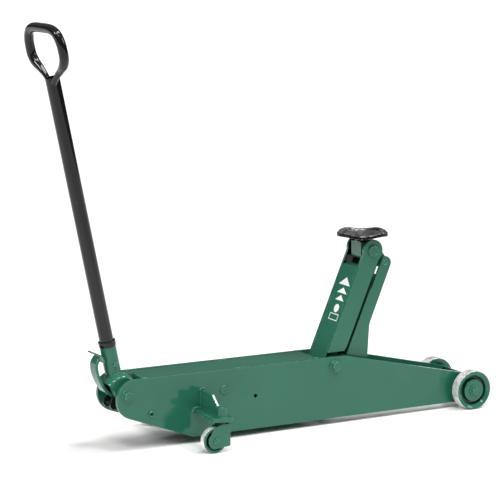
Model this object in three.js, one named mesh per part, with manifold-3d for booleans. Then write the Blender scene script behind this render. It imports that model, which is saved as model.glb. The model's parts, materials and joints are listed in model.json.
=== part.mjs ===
// Long-chassis hydraulic trolley jack with a D-grip handle, lift arm raised.
// Millimetres, +Z up, +X towards the saddle. Right is -Y, left is +Y.
// Every coordinate below is measured from the front axle on the floor; the
// whole jack is then moved so that the origin is the centre of its base.
import * as THREE from 'three';
import { mergeVertices } from 'three/addons/utils/BufferGeometryUtils.js';
import Module from 'manifold-3d';

const wasm = await Module();
wasm.setup();

// ---- driving dimensions -------------------------------------------------
const GAP = 0.3;                  // air left between touching pieces
const BASE_SHIFT_X = 676.1;       // front axle to the centre of the base
const SIDES = [['right', -1], ['left', 1]];
const HOLE_SIDES = 16;
const ROUND_SIDES = 20;

const PLATE_IN = 58;              // side plates, inner and outer faces
const PLATE_OUT = 68;
const PLATE_PEAK = [-434, 206.6];
const PLATE_BOTTOM_REAR = [-956, 21];
const REAR_ARC = { x: -1145, z: 155, r: 59 };
const NOSE = { x: 0, z: 60, r: 43.6 };
const REAR_SLOPE = THREE.MathUtils.degToRad(20);
const NOSE_SLOPE = THREE.MathUtils.degToRad(13.18);

const WHEEL_R = 60;               // front wheels
const WHEEL_WIDTH = 38;
const WHEEL_INNER_Y = 86.5;
const AXLE_R = 14;

const REAR_PIVOT = [-1170, 169.2];
const BOLT_R = 10;
const CROSS_TUBE = { x: -851, z: 149.6, r: 15 };
const DRAIN_HOLE = { x: -744.4, z: 119.3, r: 6.5 };
const PUMP_SCREW = { x: -1094, z: 106.4, r: 5 };

const ARM_PIVOT = [-469.5, 179];
const ARM_LENGTH = 366;
const ARM_ANGLE = 66.9;           // degrees above level, as raised
const ARM_HALF_WIDTH = 28.5;
const ARM_EYE_R = 34;
const CHEEK_IN = 40;
const CHEEK_OUT = 50;
const CHEEK_FOOT = [[53.4, -28.5], [29.1, 28.5]]; // each cheek's cut foot, level with the arm raised
const ARM_PIN_R = 15;
const HUB_FLANGE_R = 26;
const SADDLE_PIN_R = 16;
const HUB_R = 20;
const CRANK_LENGTH = 80;
const CRANK_OFFSET = -120.45;     // crank behind the arm's own line, degrees
const CRANK_IN = 16;
const CRANK_OUT = 26;
const CRANK_EYE_R = 30;
const ROLLER_R = 15;
const RAM_GAP = 1.2;              // roller to push face at full lift

const LINK_OFFSET = [50.2, -43.7]; // from an arm pin to the link pin beside it
const LINK_IN = 30;
const LINK_OUT = 38;
const LINK_PIN_R = 10;
const STUB_R = 11;

const RAM_Z = 105;
const RAM_R = 17;
const CYLINDER_R = 29;
const BORE_R = 22;

const SADDLE_TOP_Z = 569;
const SADDLE_R = 77.5;
const SADDLE_SHIFT_X = -8;        // saddle post behind the saddle pin

const CASTOR_X = -925;            // swivel axis
const CASTOR_Y = 189.8;
const CASTOR_R = 38;
const CASTOR_WIDTH = 23;
const CASTOR_TRAIL = 28.5;

const HANDLE_LEAN = 11.84;        // degrees rearward of upright
const SOCKET_R = 24;
const TUBE_R = 21.2;
const TUBE_WALL = 3.2;
const SOCKET_END = 142;            // distances along the handle from its pivot
const COLLAR_END = 158;
const TUBE_START = 78;
const TUBE_END = 951;
const GRIP_TOP = 1094;
const GRIP_TWIST = 5;             // degrees the grip stands turned

const YOKE_R = 58;
const YOKE_HALF_WIDTH = 45;
const WEB_IN = 23;                // the yoke's two webs, inner and outer faces
const WEB_OUT = 44;
const CAM_IN = 19;                // the two cam cheeks that hold the pump roller
const CAM_OUT = 25;
const PUMP_ROLLER = { angle: -100, reach: 36, r: 9 };
const PLUNGER_R = 9;

// ---- materials ------------------------------------------------------------
const paint = { color: 0x3f7a63, roughness: 0.42, metalness: 0.0 };
const blackPaint = { color: 0x0d0d0e, roughness: 0.3, metalness: 0.0 };
const bareSteel = { color: 0xb8babc, roughness: 0.35, metalness: 1.0 };
const castIron = { color: 0x2b2d30, roughness: 0.5, metalness: 0.8 };

// ---- helpers ----------------------------------------------------------------
const rad = THREE.MathUtils.degToRad;
const jack = new THREE.Group();

function add(parent, name, geometry, look) {
  const mesh = new THREE.Mesh(geometry, new THREE.MeshStandardMaterial({ ...look }));
  mesh.name = name;
  parent.add(mesh);
  return mesh;
}

function group(parent, x, z, leanDegrees) {
  const holder = new THREE.Group();
  holder.position.set(x, 0, z);
  holder.rotation.y = -rad(leanDegrees);
  parent.add(holder);
  return holder;
}

// A polar point [x, z] about a centre.
function polar(degrees, reach, centre = [0, 0]) {
  return [centre[0] + reach * Math.cos(rad(degrees)), centre[1] + reach * Math.sin(rad(degrees))];
}

// A round hole whose flats, not its corners, lie at radius r.
function circleHole(x, z, r) {
  const corners = Array.from({ length: HOLE_SIDES }, (_, i) => (
    new THREE.Vector2(...polar(-360 * i / HOLE_SIDES, r / Math.cos(Math.PI / HOLE_SIDES), [x, z]))
  ));
  return new THREE.Path(corners);
}

// An XZ outline made solid between two Y faces.
function slab(shape, y0, y1, curveSegments = 7) {
  const options = { depth: y1 - y0, bevelEnabled: false, curveSegments };
  return new THREE.ExtrudeGeometry(shape, options).rotateX(Math.PI / 2).translate(0, y1, 0);
}

// The same outline on either side: side is -1 for right, 1 for left.
function sideSlab(shape, side, inner, outer, curveSegments = 7) {
  const low = Math.min(side * inner, side * outer);
  const high = Math.max(side * inner, side * outer);
  return slab(shape, low, high, curveSegments);
}

// The outline around two circles joined by their outer tangents.
function hull(a, ra, b, rb) {
  const along = Math.atan2(b[1] - a[1], b[0] - a[0]);
  const open = Math.acos((ra - rb) / Math.hypot(b[0] - a[0], b[1] - a[1]));
  const shape = new THREE.Shape();
  shape.absarc(b[0], b[1], rb, along - open, along + open, false);
  shape.absarc(a[0], a[1], ra, along + open, along - open + 2 * Math.PI, false);
  shape.closePath();
  return shape;
}

function polygon(points) {
  return new THREE.Shape(points.map(([x, z]) => new THREE.Vector2(x, z)));
}

// A turned piece: profile rows are [radius, distance along the axis].
function turned(profile, segments = ROUND_SIDES) {
  return new THREE.LatheGeometry(profile.map(([r, d]) => new THREE.Vector2(r, d)), segments);
}

function turnedX(profile, segments) {
  return turned(profile, segments).rotateZ(-Math.PI / 2);
}

function turnedZ(profile, segments) {
  return turned(profile, segments).rotateX(Math.PI / 2);
}

function rod(r, from, to) {
  return [[0, from], [r, from], [r, to], [0, to]];
}

function ring(inner, outer, from, to) {
  return [[inner, from], [outer, from], [outer, to], [inner, to], [inner, from]];
}

function box(x0, x1, y0, y1, z0, z1) {
  const geometry = new THREE.BoxGeometry(x1 - x0, y1 - y0, z1 - z0);
  return geometry.translate((x0 + x1) / 2, (y0 + y1) / 2, (z0 + z1) / 2);
}

// A strip of even thickness along a smooth curve through XZ points.
function ribbon(points, thickness, steps) {
  const curve = new THREE.SplineCurve(points.map(([x, z]) => new THREE.Vector2(x, z)));
  const left = [];
  const right = [];
  for (let i = 0; i <= steps; i += 1) {
    const at = curve.getPoint(i / steps);
    const tangent = curve.getTangent(i / steps);
    const normal = new THREE.Vector2(-tangent.y, tangent.x).multiplyScalar(thickness / 2);
    left.push(at.clone().add(normal));
    right.unshift(at.clone().sub(normal));
  }
  return new THREE.Shape([...right, ...left]);
}

function toSolid(geometry) {
  const plain = geometry.clone();
  plain.deleteAttribute('normal');
  plain.deleteAttribute('uv');
  const merged = mergeVertices(plain, 1e-3);
  const index = merged.index.array;
  const faces = [];
  for (let i = 0; i < index.length; i += 3) {
    const [a, b, c] = [index[i], index[i + 1], index[i + 2]];
    if (a !== b && b !== c && c !== a) faces.push(a, b, c);
  }
  return new wasm.Manifold(new wasm.Mesh({
    numProp: 3,
    vertProperties: merged.attributes.position.array,
    triVerts: new Uint32Array(faces),
  }));
}

function toGeometry(solid) {
  const mesh = solid.getMesh();
  const geometry = new THREE.BufferGeometry();
  geometry.setAttribute('position', new THREE.BufferAttribute(mesh.vertProperties, 3));
  geometry.setIndex(new THREE.BufferAttribute(mesh.triVerts, 1));
  return geometry;
}

function join(...geometries) {
  return toGeometry(geometries.map(toSolid).reduce((sum, piece) => sum.add(piece)));
}

function cut(geometry, ...tools) {
  return toGeometry(tools.map(toSolid).reduce((rest, tool) => rest.subtract(tool), toSolid(geometry)));
}

// ---- chassis ----------------------------------------------------------------
function sidePlateShape() {
  const shape = new THREE.Shape();
  const noseTop = Math.PI / 2 - NOSE_SLOPE;
  const rearBottom = 1.5 * Math.PI - REAR_SLOPE;
  shape.moveTo(...PLATE_BOTTOM_REAR);
  shape.lineTo(NOSE.x, NOSE.z - NOSE.r);
  shape.absarc(NOSE.x, NOSE.z, NOSE.r, -Math.PI / 2, noseTop, false);
  shape.lineTo(...PLATE_PEAK);
  shape.absarc(REAR_ARC.x, REAR_ARC.z, REAR_ARC.r, Math.PI / 2, rearBottom, false);
  shape.closePath();
  shape.holes.push(
    circleHole(NOSE.x, NOSE.z, AXLE_R + GAP),
    circleHole(...ARM_PIVOT, ARM_PIN_R + GAP),
    circleHole(...REAR_PIVOT, BOLT_R + GAP),
    circleHole(CROSS_TUBE.x, CROSS_TUBE.z, CROSS_TUBE.r + GAP),
    circleHole(DRAIN_HOLE.x, DRAIN_HOLE.z, DRAIN_HOLE.r),
    circleHole(PUMP_SCREW.x, PUMP_SCREW.z, PUMP_SCREW.r + GAP),
  );
  return shape;
}

function nosePlateShape() {
  const [outer, inner, from, to] = [41.5, 36, rad(-52), rad(86)];
  const shape = new THREE.Shape();
  shape.absarc(NOSE.x, NOSE.z, outer, from, to, false);
  shape.absarc(NOSE.x, NOSE.z, inner, to, from, true);
  shape.closePath();
  return shape;
}

function buildChassis(root) {
  const inside = PLATE_IN - GAP;
  for (const [name, side] of SIDES) {
    add(root, `side_plate_${name}`, sideSlab(sidePlateShape(), side, PLATE_IN, PLATE_OUT), paint);
  }
  const cover = polygon([[-1121, 206], [-521, 200.6], [-521, 206.6], [-1121, 212]]);
  add(root, 'top_cover', slab(cover, -inside, inside), paint);
  add(root, 'nose_plate', slab(nosePlateShape(), -inside, inside), paint);
  add(root, 'bottom_plate', box(-940, -560, -inside, inside, 24, 30), paint);
}

function buildPins(root) {
  const axleEnd = WHEEL_INNER_Y + WHEEL_WIDTH - 2 - GAP;
  const axle = turned(rod(AXLE_R, -axleEnd, axleEnd)).translate(NOSE.x, 0, NOSE.z);
  add(root, 'front_axle', axle, bareSteel);
  for (const [name, side] of SIDES) {
    const start = axleEnd + 2 * GAP;
    const profile = [[0, start], [17, start], [17, start + 4], [11.5, start + 4.5],
      [11, start + 9], [9, start + 10.5], [0, start + 10.5]];
    const bolt = turned(profile, 20).rotateX(side < 0 ? Math.PI : 0).translate(NOSE.x, 0, NOSE.z);
    add(root, `front_wheel_bolt_${name}`, bolt, paint);
  }

  const face = PLATE_OUT + GAP;
  const boltProfile = [[0, -face - 12], [8, -face - 12], [12.5, -face - 8.5], [13, -face - 4],
    [19, -face - 3], [19, -face], [BOLT_R, -face], [BOLT_R, 84], [0, 84]];
  add(root, 'rear_pivot_bolt', turned(boltProfile).translate(REAR_PIVOT[0], 0, REAR_PIVOT[1]), paint);
  const hexagon = polygon([0, 60, 120, 180, 240, 300].map((a) => polar(a, 17)));
  hexagon.holes.push(circleHole(0, 0, BOLT_R + GAP));
  const nut = slab(hexagon, face, face + 12).translate(REAR_PIVOT[0], 0, REAR_PIVOT[1]);
  add(root, 'rear_pivot_nut', nut, paint);
  for (const [name, side] of SIDES) {
    const [low, high] = [YOKE_HALF_WIDTH + GAP, PLATE_IN - GAP].map((y) => y * side).sort((a, b) => a - b);
    const spacer = turned(ring(BOLT_R + GAP, 16, low, high));
    add(root, `yoke_spacer_${name}`, spacer.translate(REAR_PIVOT[0], 0, REAR_PIVOT[1]), bareSteel);
  }

  const tube = turned(rod(CROSS_TUBE.r, -face - 0.7, face + 0.7));
  add(root, 'cylinder_anchor_pin', tube.translate(CROSS_TUBE.x, 0, CROSS_TUBE.z), paint);

  const pinProfile = [[0, -82], [13.5, -82], [14.5, -81], [14.5, -face - 6], [19.5, -face - 5],
    [19.5, -face], [ARM_PIN_R, -face], [ARM_PIN_R, 77], [0, 77]];
  add(root, 'arm_pivot_pin', turned(pinProfile).translate(ARM_PIVOT[0], 0, ARM_PIVOT[1]), paint);
  const collar = turned(ring(ARM_PIN_R + GAP, 19.5, face, face + 6));
  add(root, 'arm_pivot_collar', collar.translate(ARM_PIVOT[0], 0, ARM_PIVOT[1]), paint);

  for (const [name, side] of SIDES) {
    const [low, high] = [28, PLATE_IN - GAP].map((y) => y * side).sort((a, b) => a - b);
    const stub = turned(rod(STUB_R, low, high));
    stub.translate(ARM_PIVOT[0] + LINK_OFFSET[0], 0, ARM_PIVOT[1] + LINK_OFFSET[1]);
    add(root, `link_stub_pin_${name}`, stub, bareSteel);
  }
}

// ---- hydraulics -------------------------------------------------------------
function plungerHeight() {
  return REAR_PIVOT[1] + polar(PUMP_ROLLER.angle, PUMP_ROLLER.reach)[1];
}

function buildHydraulics(root) {
  const block = slab(polygon([[-1098, 184], [-1098, 94], [-1003, 60], [-1003, 184]]), -46, 46);
  const bore = turnedX(rod(PLUNGER_R + GAP, -1110, -1030)).translate(0, 0, plungerHeight());
  const valveBore = turnedX(rod(6 + GAP, -1110, -1060), 20).translate(0, 26, 170);
  add(root, 'pump_body', cut(block, bore, valveBore), paint);
  for (const [name, side] of SIDES) {
    const face = PLATE_OUT + GAP;
    const profile = [[0, 46 + GAP], [PUMP_SCREW.r, 46 + GAP], [PUMP_SCREW.r, face],
      [8.5, face], [8.5, face + 3.5], [7, face + 5], [0, face + 5]];
    const screw = turned(profile, 20).rotateX(side < 0 ? Math.PI : 0);
    add(root, `pump_screw_${name}`, screw.translate(PUMP_SCREW.x, 0, PUMP_SCREW.z), paint);
  }
  const barrel = [[0, -1002], [CYLINDER_R, -1002], [CYLINDER_R, -722], [BORE_R, -722], [BORE_R, -985], [0, -985]];
  add(root, 'hydraulic_cylinder', turnedX(barrel).translate(0, 0, RAM_Z), paint);
  const gland = ring(RAM_R + GAP, 34, -722 + GAP, -700);
  add(root, 'cylinder_gland', turnedX(gland).translate(0, 0, RAM_Z), bareSteel);
  const valve = [[0, -1112], [6, -1112], [7.5, -1110], [7.5, -1103], [6, -1102], [6, -1070], [0, -1070]];
  add(root, 'release_valve_stem', turnedX(valve, 20).translate(0, 26, 170), bareSteel);
  const roller = polar(PUMP_ROLLER.angle, PUMP_ROLLER.reach, REAR_PIVOT);
  const face = roller[0] + PUMP_ROLLER.r + 2 * GAP;
  const plunger = [[0, face], [10, face], [12, face + 2], [12, face + 6], [PLUNGER_R, face + 6],
    [PLUNGER_R, face + 84], [0, face + 84]];
  add(root, 'pump_plunger', turnedX(plunger, 20).translate(0, 0, roller[1]), bareSteel);
}

function buildRam(root) {
  const roller = polar(ARM_ANGLE + CRANK_OFFSET, CRANK_LENGTH, ARM_PIVOT);
  const face = roller[0] - ROLLER_R - RAM_GAP;
  const rodEnd = face - 24;
  const profile = [[0, -750], [BORE_R - GAP, -750], [BORE_R - GAP, -726], [RAM_R, -726], [RAM_R, rodEnd], [0, rodEnd]];
  add(root, 'ram_rod', turnedX(profile).translate(0, 0, RAM_Z), bareSteel);
  add(root, 'ram_head', box(rodEnd + GAP, face, -13.7, 13.7, 84, 130), bareSteel);
}

// ---- lift arm: local X runs along the arm, local Z points to its back ------------
function cheekShape() {
  const eyeTurn = Math.PI - Math.asin(ARM_HALF_WIDTH / ARM_EYE_R);
  const shape = new THREE.Shape();
  shape.absarc(ARM_LENGTH, 0, ARM_EYE_R, -eyeTurn, eyeTurn, false);
  shape.lineTo(...CHEEK_FOOT[1]);
  shape.lineTo(...CHEEK_FOOT[0]);
  shape.closePath();
  shape.holes.push(circleHole(ARM_LENGTH, 0, SADDLE_PIN_R + GAP));
  return shape;
}

function buildArm(root) {
  const arm = group(root, ...ARM_PIVOT, ARM_ANGLE);
  const stubAtRest = new THREE.Vector2(...LINK_OFFSET).rotateAround(new THREE.Vector2(), rad(6));
  for (const [name, side] of SIDES) {
    const cheek = sideSlab(cheekShape(), side, CHEEK_IN, CHEEK_OUT, 9);
    const [low, high] = [CHEEK_IN - 2, CHEEK_OUT + 2].map((y) => y * side).sort((a, b) => a - b);
    const seat = turned(rod(STUB_R + 2, low, high)).translate(stubAtRest.x, 0, stubAtRest.y);
    add(arm, `arm_cheek_${name}`, cut(cheek, seat), paint);
  }
  const inside = CHEEK_IN - GAP;
  const back = polygon([[0, 22.2], [298, 22.2], [309, 12], [313, 15.5], [301, 28.2], [0, 28.2]]);
  add(arm, 'arm_back_plate', slab(back, -inside, inside), paint);
  const flanges = SIDES.map(([, side]) => {
    const [low, high] = [CHEEK_IN, PLATE_IN - GAP].map((y) => y * side).sort((a, b) => a - b);
    return turned(ring(ARM_PIN_R + GAP, HUB_FLANGE_R, low, high));
  });
  const barrel = turned(ring(ARM_PIN_R + GAP, HUB_R, -CHEEK_IN - 1, CHEEK_IN + 1));
  add(arm, 'arm_hub', join(barrel, ...flanges), paint);

  const crankEnd = polar(CRANK_OFFSET, CRANK_LENGTH);
  for (const [name, side] of SIDES) {
    const outline = hull([0, 0], CRANK_EYE_R, crankEnd, 13);
    outline.holes.push(circleHole(0, 0, HUB_R + GAP), circleHole(...crankEnd, 8 + GAP));
    const ear = polygon([[23, -18], [95, -18], [95, 21.9], [23, 21.9]]);
    const plates = [outline, ear].map((shape) => sideSlab(shape, side, CRANK_IN, CRANK_OUT));
    const aboveBackPlate = box(-40, 100, -CRANK_OUT - 5, CRANK_OUT + 5, 22.2 - GAP, 40);
    add(arm, `crank_plate_${name}`, cut(join(...plates), aboveBackPlate), paint);
  }
  const crankPin = turned(rod(8, -CRANK_OUT - 1.5, CRANK_OUT + 1.5), 20);
  add(arm, 'crank_pin', crankPin.translate(crankEnd[0], 0, crankEnd[1]), bareSteel);
  const roller = turned(ring(8 + GAP, ROLLER_R, -15, 15));
  add(arm, 'crank_roller', roller.translate(crankEnd[0], 0, crankEnd[1]), bareSteel);

  const headFace = CHEEK_OUT + GAP;
  const pin = [[0, -56], [16.5, -56], [18, -54.5], [18, -headFace], [SADDLE_PIN_R, -headFace],
    [SADDLE_PIN_R, 54], [0, 54]];
  add(arm, 'saddle_pin', turned(pin).translate(ARM_LENGTH, 0, 0), paint);
}

// ---- radius link, parallel to the arm ----------------------------------------------
function buildLink(root) {
  const link = group(root, ARM_PIVOT[0] + LINK_OFFSET[0], ARM_PIVOT[1] + LINK_OFFSET[1], ARM_ANGLE);
  const outline = new THREE.Shape();
  outline.absarc(ARM_LENGTH, 0, 21, rad(-90), rad(42), false);
  outline.lineTo(ARM_LENGTH - 22, 14);
  outline.lineTo(285, 14);
  outline.lineTo(268, 18);
  outline.lineTo(40, 18);
  outline.lineTo(20, 14);
  outline.absarc(0, 0, 20, rad(44), rad(270), false);
  outline.lineTo(30, -42);
  outline.lineTo(82, -55);
  outline.lineTo(175, -22);
  outline.closePath();
  outline.holes.push(circleHole(0, 0, STUB_R + GAP), circleHole(ARM_LENGTH, 0, LINK_PIN_R + GAP));
  const plates = SIDES.map(([, side]) => sideSlab(outline, side, LINK_IN, LINK_OUT));
  const web = box(64, 326, -LINK_IN - 1, LINK_IN + 1, -9, -3);
  add(link, 'radius_link', join(...plates, web), paint);
}

// ---- saddle and its carrier ------------------------------------------------------
function saddlePinAt() {
  return polar(ARM_ANGLE, ARM_LENGTH, ARM_PIVOT);
}

function buildCarrier(root) {
  const pin = saddlePinAt();
  const carrier = group(root, ...pin, 0);
  const body = polygon([[-30, 24], [-30, -20], [-22, -27], [-8, -27],
    ...[215, 240, 265, 290, 315, 340, 5, 30, 50].map((a) => polar(a, 17, LINK_OFFSET)),
    [22, 24]]);
  body.holes.push(circleHole(0, 0, SADDLE_PIN_R + GAP), circleHole(...LINK_OFFSET, LINK_PIN_R + GAP));
  const core = slab(body, -LINK_IN + 2.5, LINK_IN - 2.5);
  const hubs = SIDES.map(([, side]) => {
    const [low, high] = [25, CHEEK_IN - GAP].map((y) => y * side).sort((a, b) => a - b);
    return turned(ring(SADDLE_PIN_R + GAP, 19.5, low, high));
  });
  add(carrier, 'saddle_carrier', join(core, ...hubs), paint);
  const pinEnd = CHEEK_IN - 2 * GAP;
  const linkPin = turned(rod(LINK_PIN_R, -pinEnd, pinEnd), 20);
  add(carrier, 'link_top_pin', linkPin.translate(LINK_OFFSET[0], 0, LINK_OFFSET[1]), bareSteel);
  const spigot = turnedZ(rod(14, 24 + GAP, 39)).translate(SADDLE_SHIFT_X, 0, 0);
  add(carrier, 'saddle_spigot', spigot, bareSteel);
}

function buildSaddle(root) {
  const pin = saddlePinAt();
  const top = SADDLE_TOP_Z;
  const seat = pin[1] + 24 + 2 * GAP;
  const profile = [[14 + GAP, seat], [23, seat], [25, top - 20], [48, top - 12], [SADDLE_R - 1, top - 10],
    [SADDLE_R, top - 8], [SADDLE_R, top - 1], [SADDLE_R - 1, top], [60, top], [54, top - 7],
    [0, top - 7], [0, pin[1] + 39 + GAP], [14 + GAP, pin[1] + 39 + GAP], [14 + GAP, seat]];
  const saddle = turnedZ(profile, 32).translate(pin[0] + SADDLE_SHIFT_X, 0, 0);
  add(root, 'saddle', saddle, castIron);
}

// ---- wheels --------------------------------------------------------------------------
function buildFrontWheels(root) {
  const [w, r] = [WHEEL_WIDTH, WHEEL_R];
  const bore = AXLE_R + GAP;
  const profile = [[bore, 0], [r - 3, 0], [r, 3], [r, w - 3.5], [r - 3.5, w], [50, w], [44, w - 3],
    [42, w - 9], [35.5, w - 9], [33.5, w - 2], [bore, w - 2], [bore, 0]];
  for (const [name, side] of SIDES) {
    const wheel = turned(profile, 32).translate(0, WHEEL_INNER_Y, 0).rotateX(side < 0 ? Math.PI : 0);
    add(root, `front_wheel_${name}`, wheel.translate(NOSE.x, 0, NOSE.z), paint);
  }
}

function castorBracket(side) {
  const [near, far] = [PLATE_OUT + GAP, CASTOR_Y + 22];
  const plateShape = new THREE.Shape();
  plateShape.moveTo(-26, near);
  plateShape.lineTo(26, near);
  plateShape.lineTo(29, far - 14);
  plateShape.absarc(15, far - 14, 14, 0, Math.PI / 2, false);
  plateShape.absarc(-22, far - 14, 14, Math.PI / 2, Math.PI, false);
  plateShape.closePath();
  const plate = new THREE.ExtrudeGeometry(plateShape, { depth: 10, bevelEnabled: false, curveSegments: 5 });
  plate.translate(0, 0, 94);
  const rib = polygon([[near, 103], [near, 160], [133, 158], [166, 130], [176, 128], [176, 103]]);
  const gusset = new THREE.ExtrudeGeometry(rib, { depth: 9, bevelEnabled: false });
  gusset.rotateX(Math.PI / 2).rotateZ(Math.PI / 2).translate(-4.5, 0, 0);
  const boss = turnedZ(rod(14.5, 103, 131)).translate(0, CASTOR_Y, 0);
  const bore = turnedZ(rod(8 + GAP, 88, 140), 16).translate(0, CASTOR_Y, 0);
  const bracket = cut(join(plate, gusset, boss), bore);
  return side > 0 ? bracket : mirrorY(bracket);
}

// The left-hand piece made right-handed: Y turned over and the faces rewound.
function mirrorY(geometry) {
  const mirrored = geometry.clone().scale(1, -1, 1);
  const index = mirrored.index.array;
  for (let i = 0; i < index.length; i += 3) {
    [index[i], index[i + 1]] = [index[i + 1], index[i]];
  }
  return mirrored;
}

function castorFork() {
  const outline = new THREE.Shape();
  const axle = [-CASTOR_TRAIL, CASTOR_R];
  outline.moveTo(19, 86);
  outline.lineTo(-9, 84);
  outline.lineTo(-32, 77);
  outline.lineTo(...polar(135, 24, axle));
  outline.absarc(...axle, 24, rad(135), rad(262), false);
  outline.lineTo(19, 18.5);
  outline.closePath();
  outline.holes.push(circleHole(...axle, 5 + GAP));
  const cheeks = SIDES.map(([, side]) => sideSlab(outline, side, 12.2, 15.6, 8));
  return join(...cheeks, box(-16, 19, -15, 15, 80, 86));
}

function buildCastors(root) {
  const r = CASTOR_R;
  const w = CASTOR_WIDTH / 2;
  const wheelProfile = [[5 + GAP, -w], [r - 2, -w], [r, -w + 2], [r, w - 2], [r - 2, w],
    [5 + GAP, w], [5 + GAP, -w]];
  for (const [name, side] of SIDES) {
    const y = side * CASTOR_Y;
    const axleX = CASTOR_X - CASTOR_TRAIL;
    add(root, `castor_bracket_${name}`, castorBracket(side).translate(CASTOR_X, 0, 0), paint);
    add(root, `castor_fork_${name}`, castorFork().translate(CASTOR_X, y, 0), paint);
    const stem = turnedZ([[0, 86 + GAP], [14, 86 + GAP], [14, 94 - GAP], [8, 94 - GAP], [8, 133],
      [6.5, 134.5], [0, 134.5]], 16);
    add(root, `castor_stem_${name}`, stem.translate(CASTOR_X, y, 0), bareSteel);
    const wheel = turned(wheelProfile, 28).translate(axleX, y, r);
    add(root, `castor_wheel_${name}`, wheel, paint);
    const axle = turned([[0, -19], [8.5, -19], [9, -18], [9, -15.6 - GAP], [5, -15.6 - GAP], [5, 18], [0, 18]], 20);
    add(root, `castor_axle_${name}`, axle.rotateX(side > 0 ? Math.PI : 0).translate(axleX, y, r), paint);
  }
}

// ---- handle yoke, pedal and handle ------------------------------------------------------
function yokeGeometry() {
  const top = new THREE.Shape();
  const [front, back] = [rad(58), rad(146)];
  top.absarc(0, 0, YOKE_R, front, back, false);
  top.absarc(0, 0, YOKE_R - 9, back, front, true);
  top.closePath();
  const skin = slab(top, -YOKE_HALF_WIDTH, YOKE_HALF_WIDTH);
  const web = new THREE.Shape();
  web.absarc(0, 0, YOKE_R - 2, front, back, false);
  for (const corner of [[-30, 8], [-20, -14], [0, -24], [22, -12]]) web.lineTo(...corner);
  web.closePath();
  const cam = polygon([[-16, 46], [-22, 2], [-36, -36], [-28, -47], [0, -47], [12, -32], [17, -4], [16, 46]]);
  const roller = polar(PUMP_ROLLER.angle, PUMP_ROLLER.reach);
  web.holes.push(circleHole(0, 0, BOLT_R + GAP));
  cam.holes.push(circleHole(0, 0, BOLT_R + GAP), circleHole(...roller, 5 + GAP));
  const webs = SIDES.map(([, side]) => sideSlab(web, side, WEB_IN, WEB_OUT));
  const cams = SIDES.map(([, side]) => sideSlab(cam, side, CAM_IN, CAM_OUT));
  return join(skin, ...webs, ...cams);
}

// Rows are [across, out of the loop's plane, distance along the handle, radius].
function gripPath() {
  const loop = [[55, 972, 11], [77, 989, 13.5], [89, 1008, 14], [91, 1030, 14], [88, 1056, 14],
    [76, 1079, 14], [54, 1091, 14], [26, GRIP_TOP, 14]];
  const near = loop.map(([y, z, r]) => [-y, 0, z, r]);
  const far = loop.map(([y, z, r]) => [y, 0, z, r]).reverse();
  const nearFoot = [[-24, -12, 936, 8], [-35, -7, 953, 8.5]];
  const farFoot = [[36, 0, 955, 8.5], [25, 0, 940, 8]];
  return [...nearFoot, ...near, [0, 0, GRIP_TOP, 14], ...far, ...farFoot];
}

// A round bar along a smooth curve, its radius given at each point of the path.
function sweep(path, steps, sides) {
  const points = path.map(([y, x, z]) => new THREE.Vector3(x, y, z));
  const curve = new THREE.CatmullRomCurve3(points, false, 'centripetal');
  const corners = [];
  for (let i = 0; i <= steps; i += 1) {
    const at = (i / steps) * (path.length - 1);
    const low = Math.min(Math.floor(at), path.length - 2);
    const radius = THREE.MathUtils.lerp(path[low][3], path[low + 1][3], at - low);
    const tangent = curve.getTangent(i / steps);
    const side = new THREE.Vector3(1, 0, 0).addScaledVector(tangent, -tangent.x).normalize();
    const up = tangent.clone().cross(side);
    for (let k = 0; k < sides; k += 1) {
      const turn = (2 * Math.PI * k) / sides;
      const corner = curve.getPoint(i / steps).addScaledVector(side, radius * Math.cos(turn));
      corners.push(...corner.addScaledVector(up, radius * Math.sin(turn)).toArray());
    }
  }
  return ringMesh(corners, steps, sides);
}

// Faces between successive rings of corners, closed by a fan at either end.
function ringMesh(corners, steps, sides) {
  const faces = [];
  for (let i = 0; i < steps; i += 1) {
    for (let k = 0; k < sides; k += 1) {
      const [a, b] = [i * sides + k, i * sides + ((k + 1) % sides)];
      faces.push(a, b, b + sides, a, b + sides, a + sides);
    }
  }
  const last = steps * sides;
  for (let k = 1; k < sides - 1; k += 1) {
    faces.push(0, k + 1, k, last, last + k, last + k + 1);
  }
  const geometry = new THREE.BufferGeometry();
  geometry.setAttribute('position', new THREE.Float32BufferAttribute(corners, 3));
  geometry.setIndex(faces);
  return geometry;
}

function gripGeometry() {
  const tubeSpace = turnedZ(rod(TUBE_R + GAP, 880, TUBE_END + 1));
  return cut(sweep(gripPath(), 36, 12), tubeSpace);
}

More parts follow.
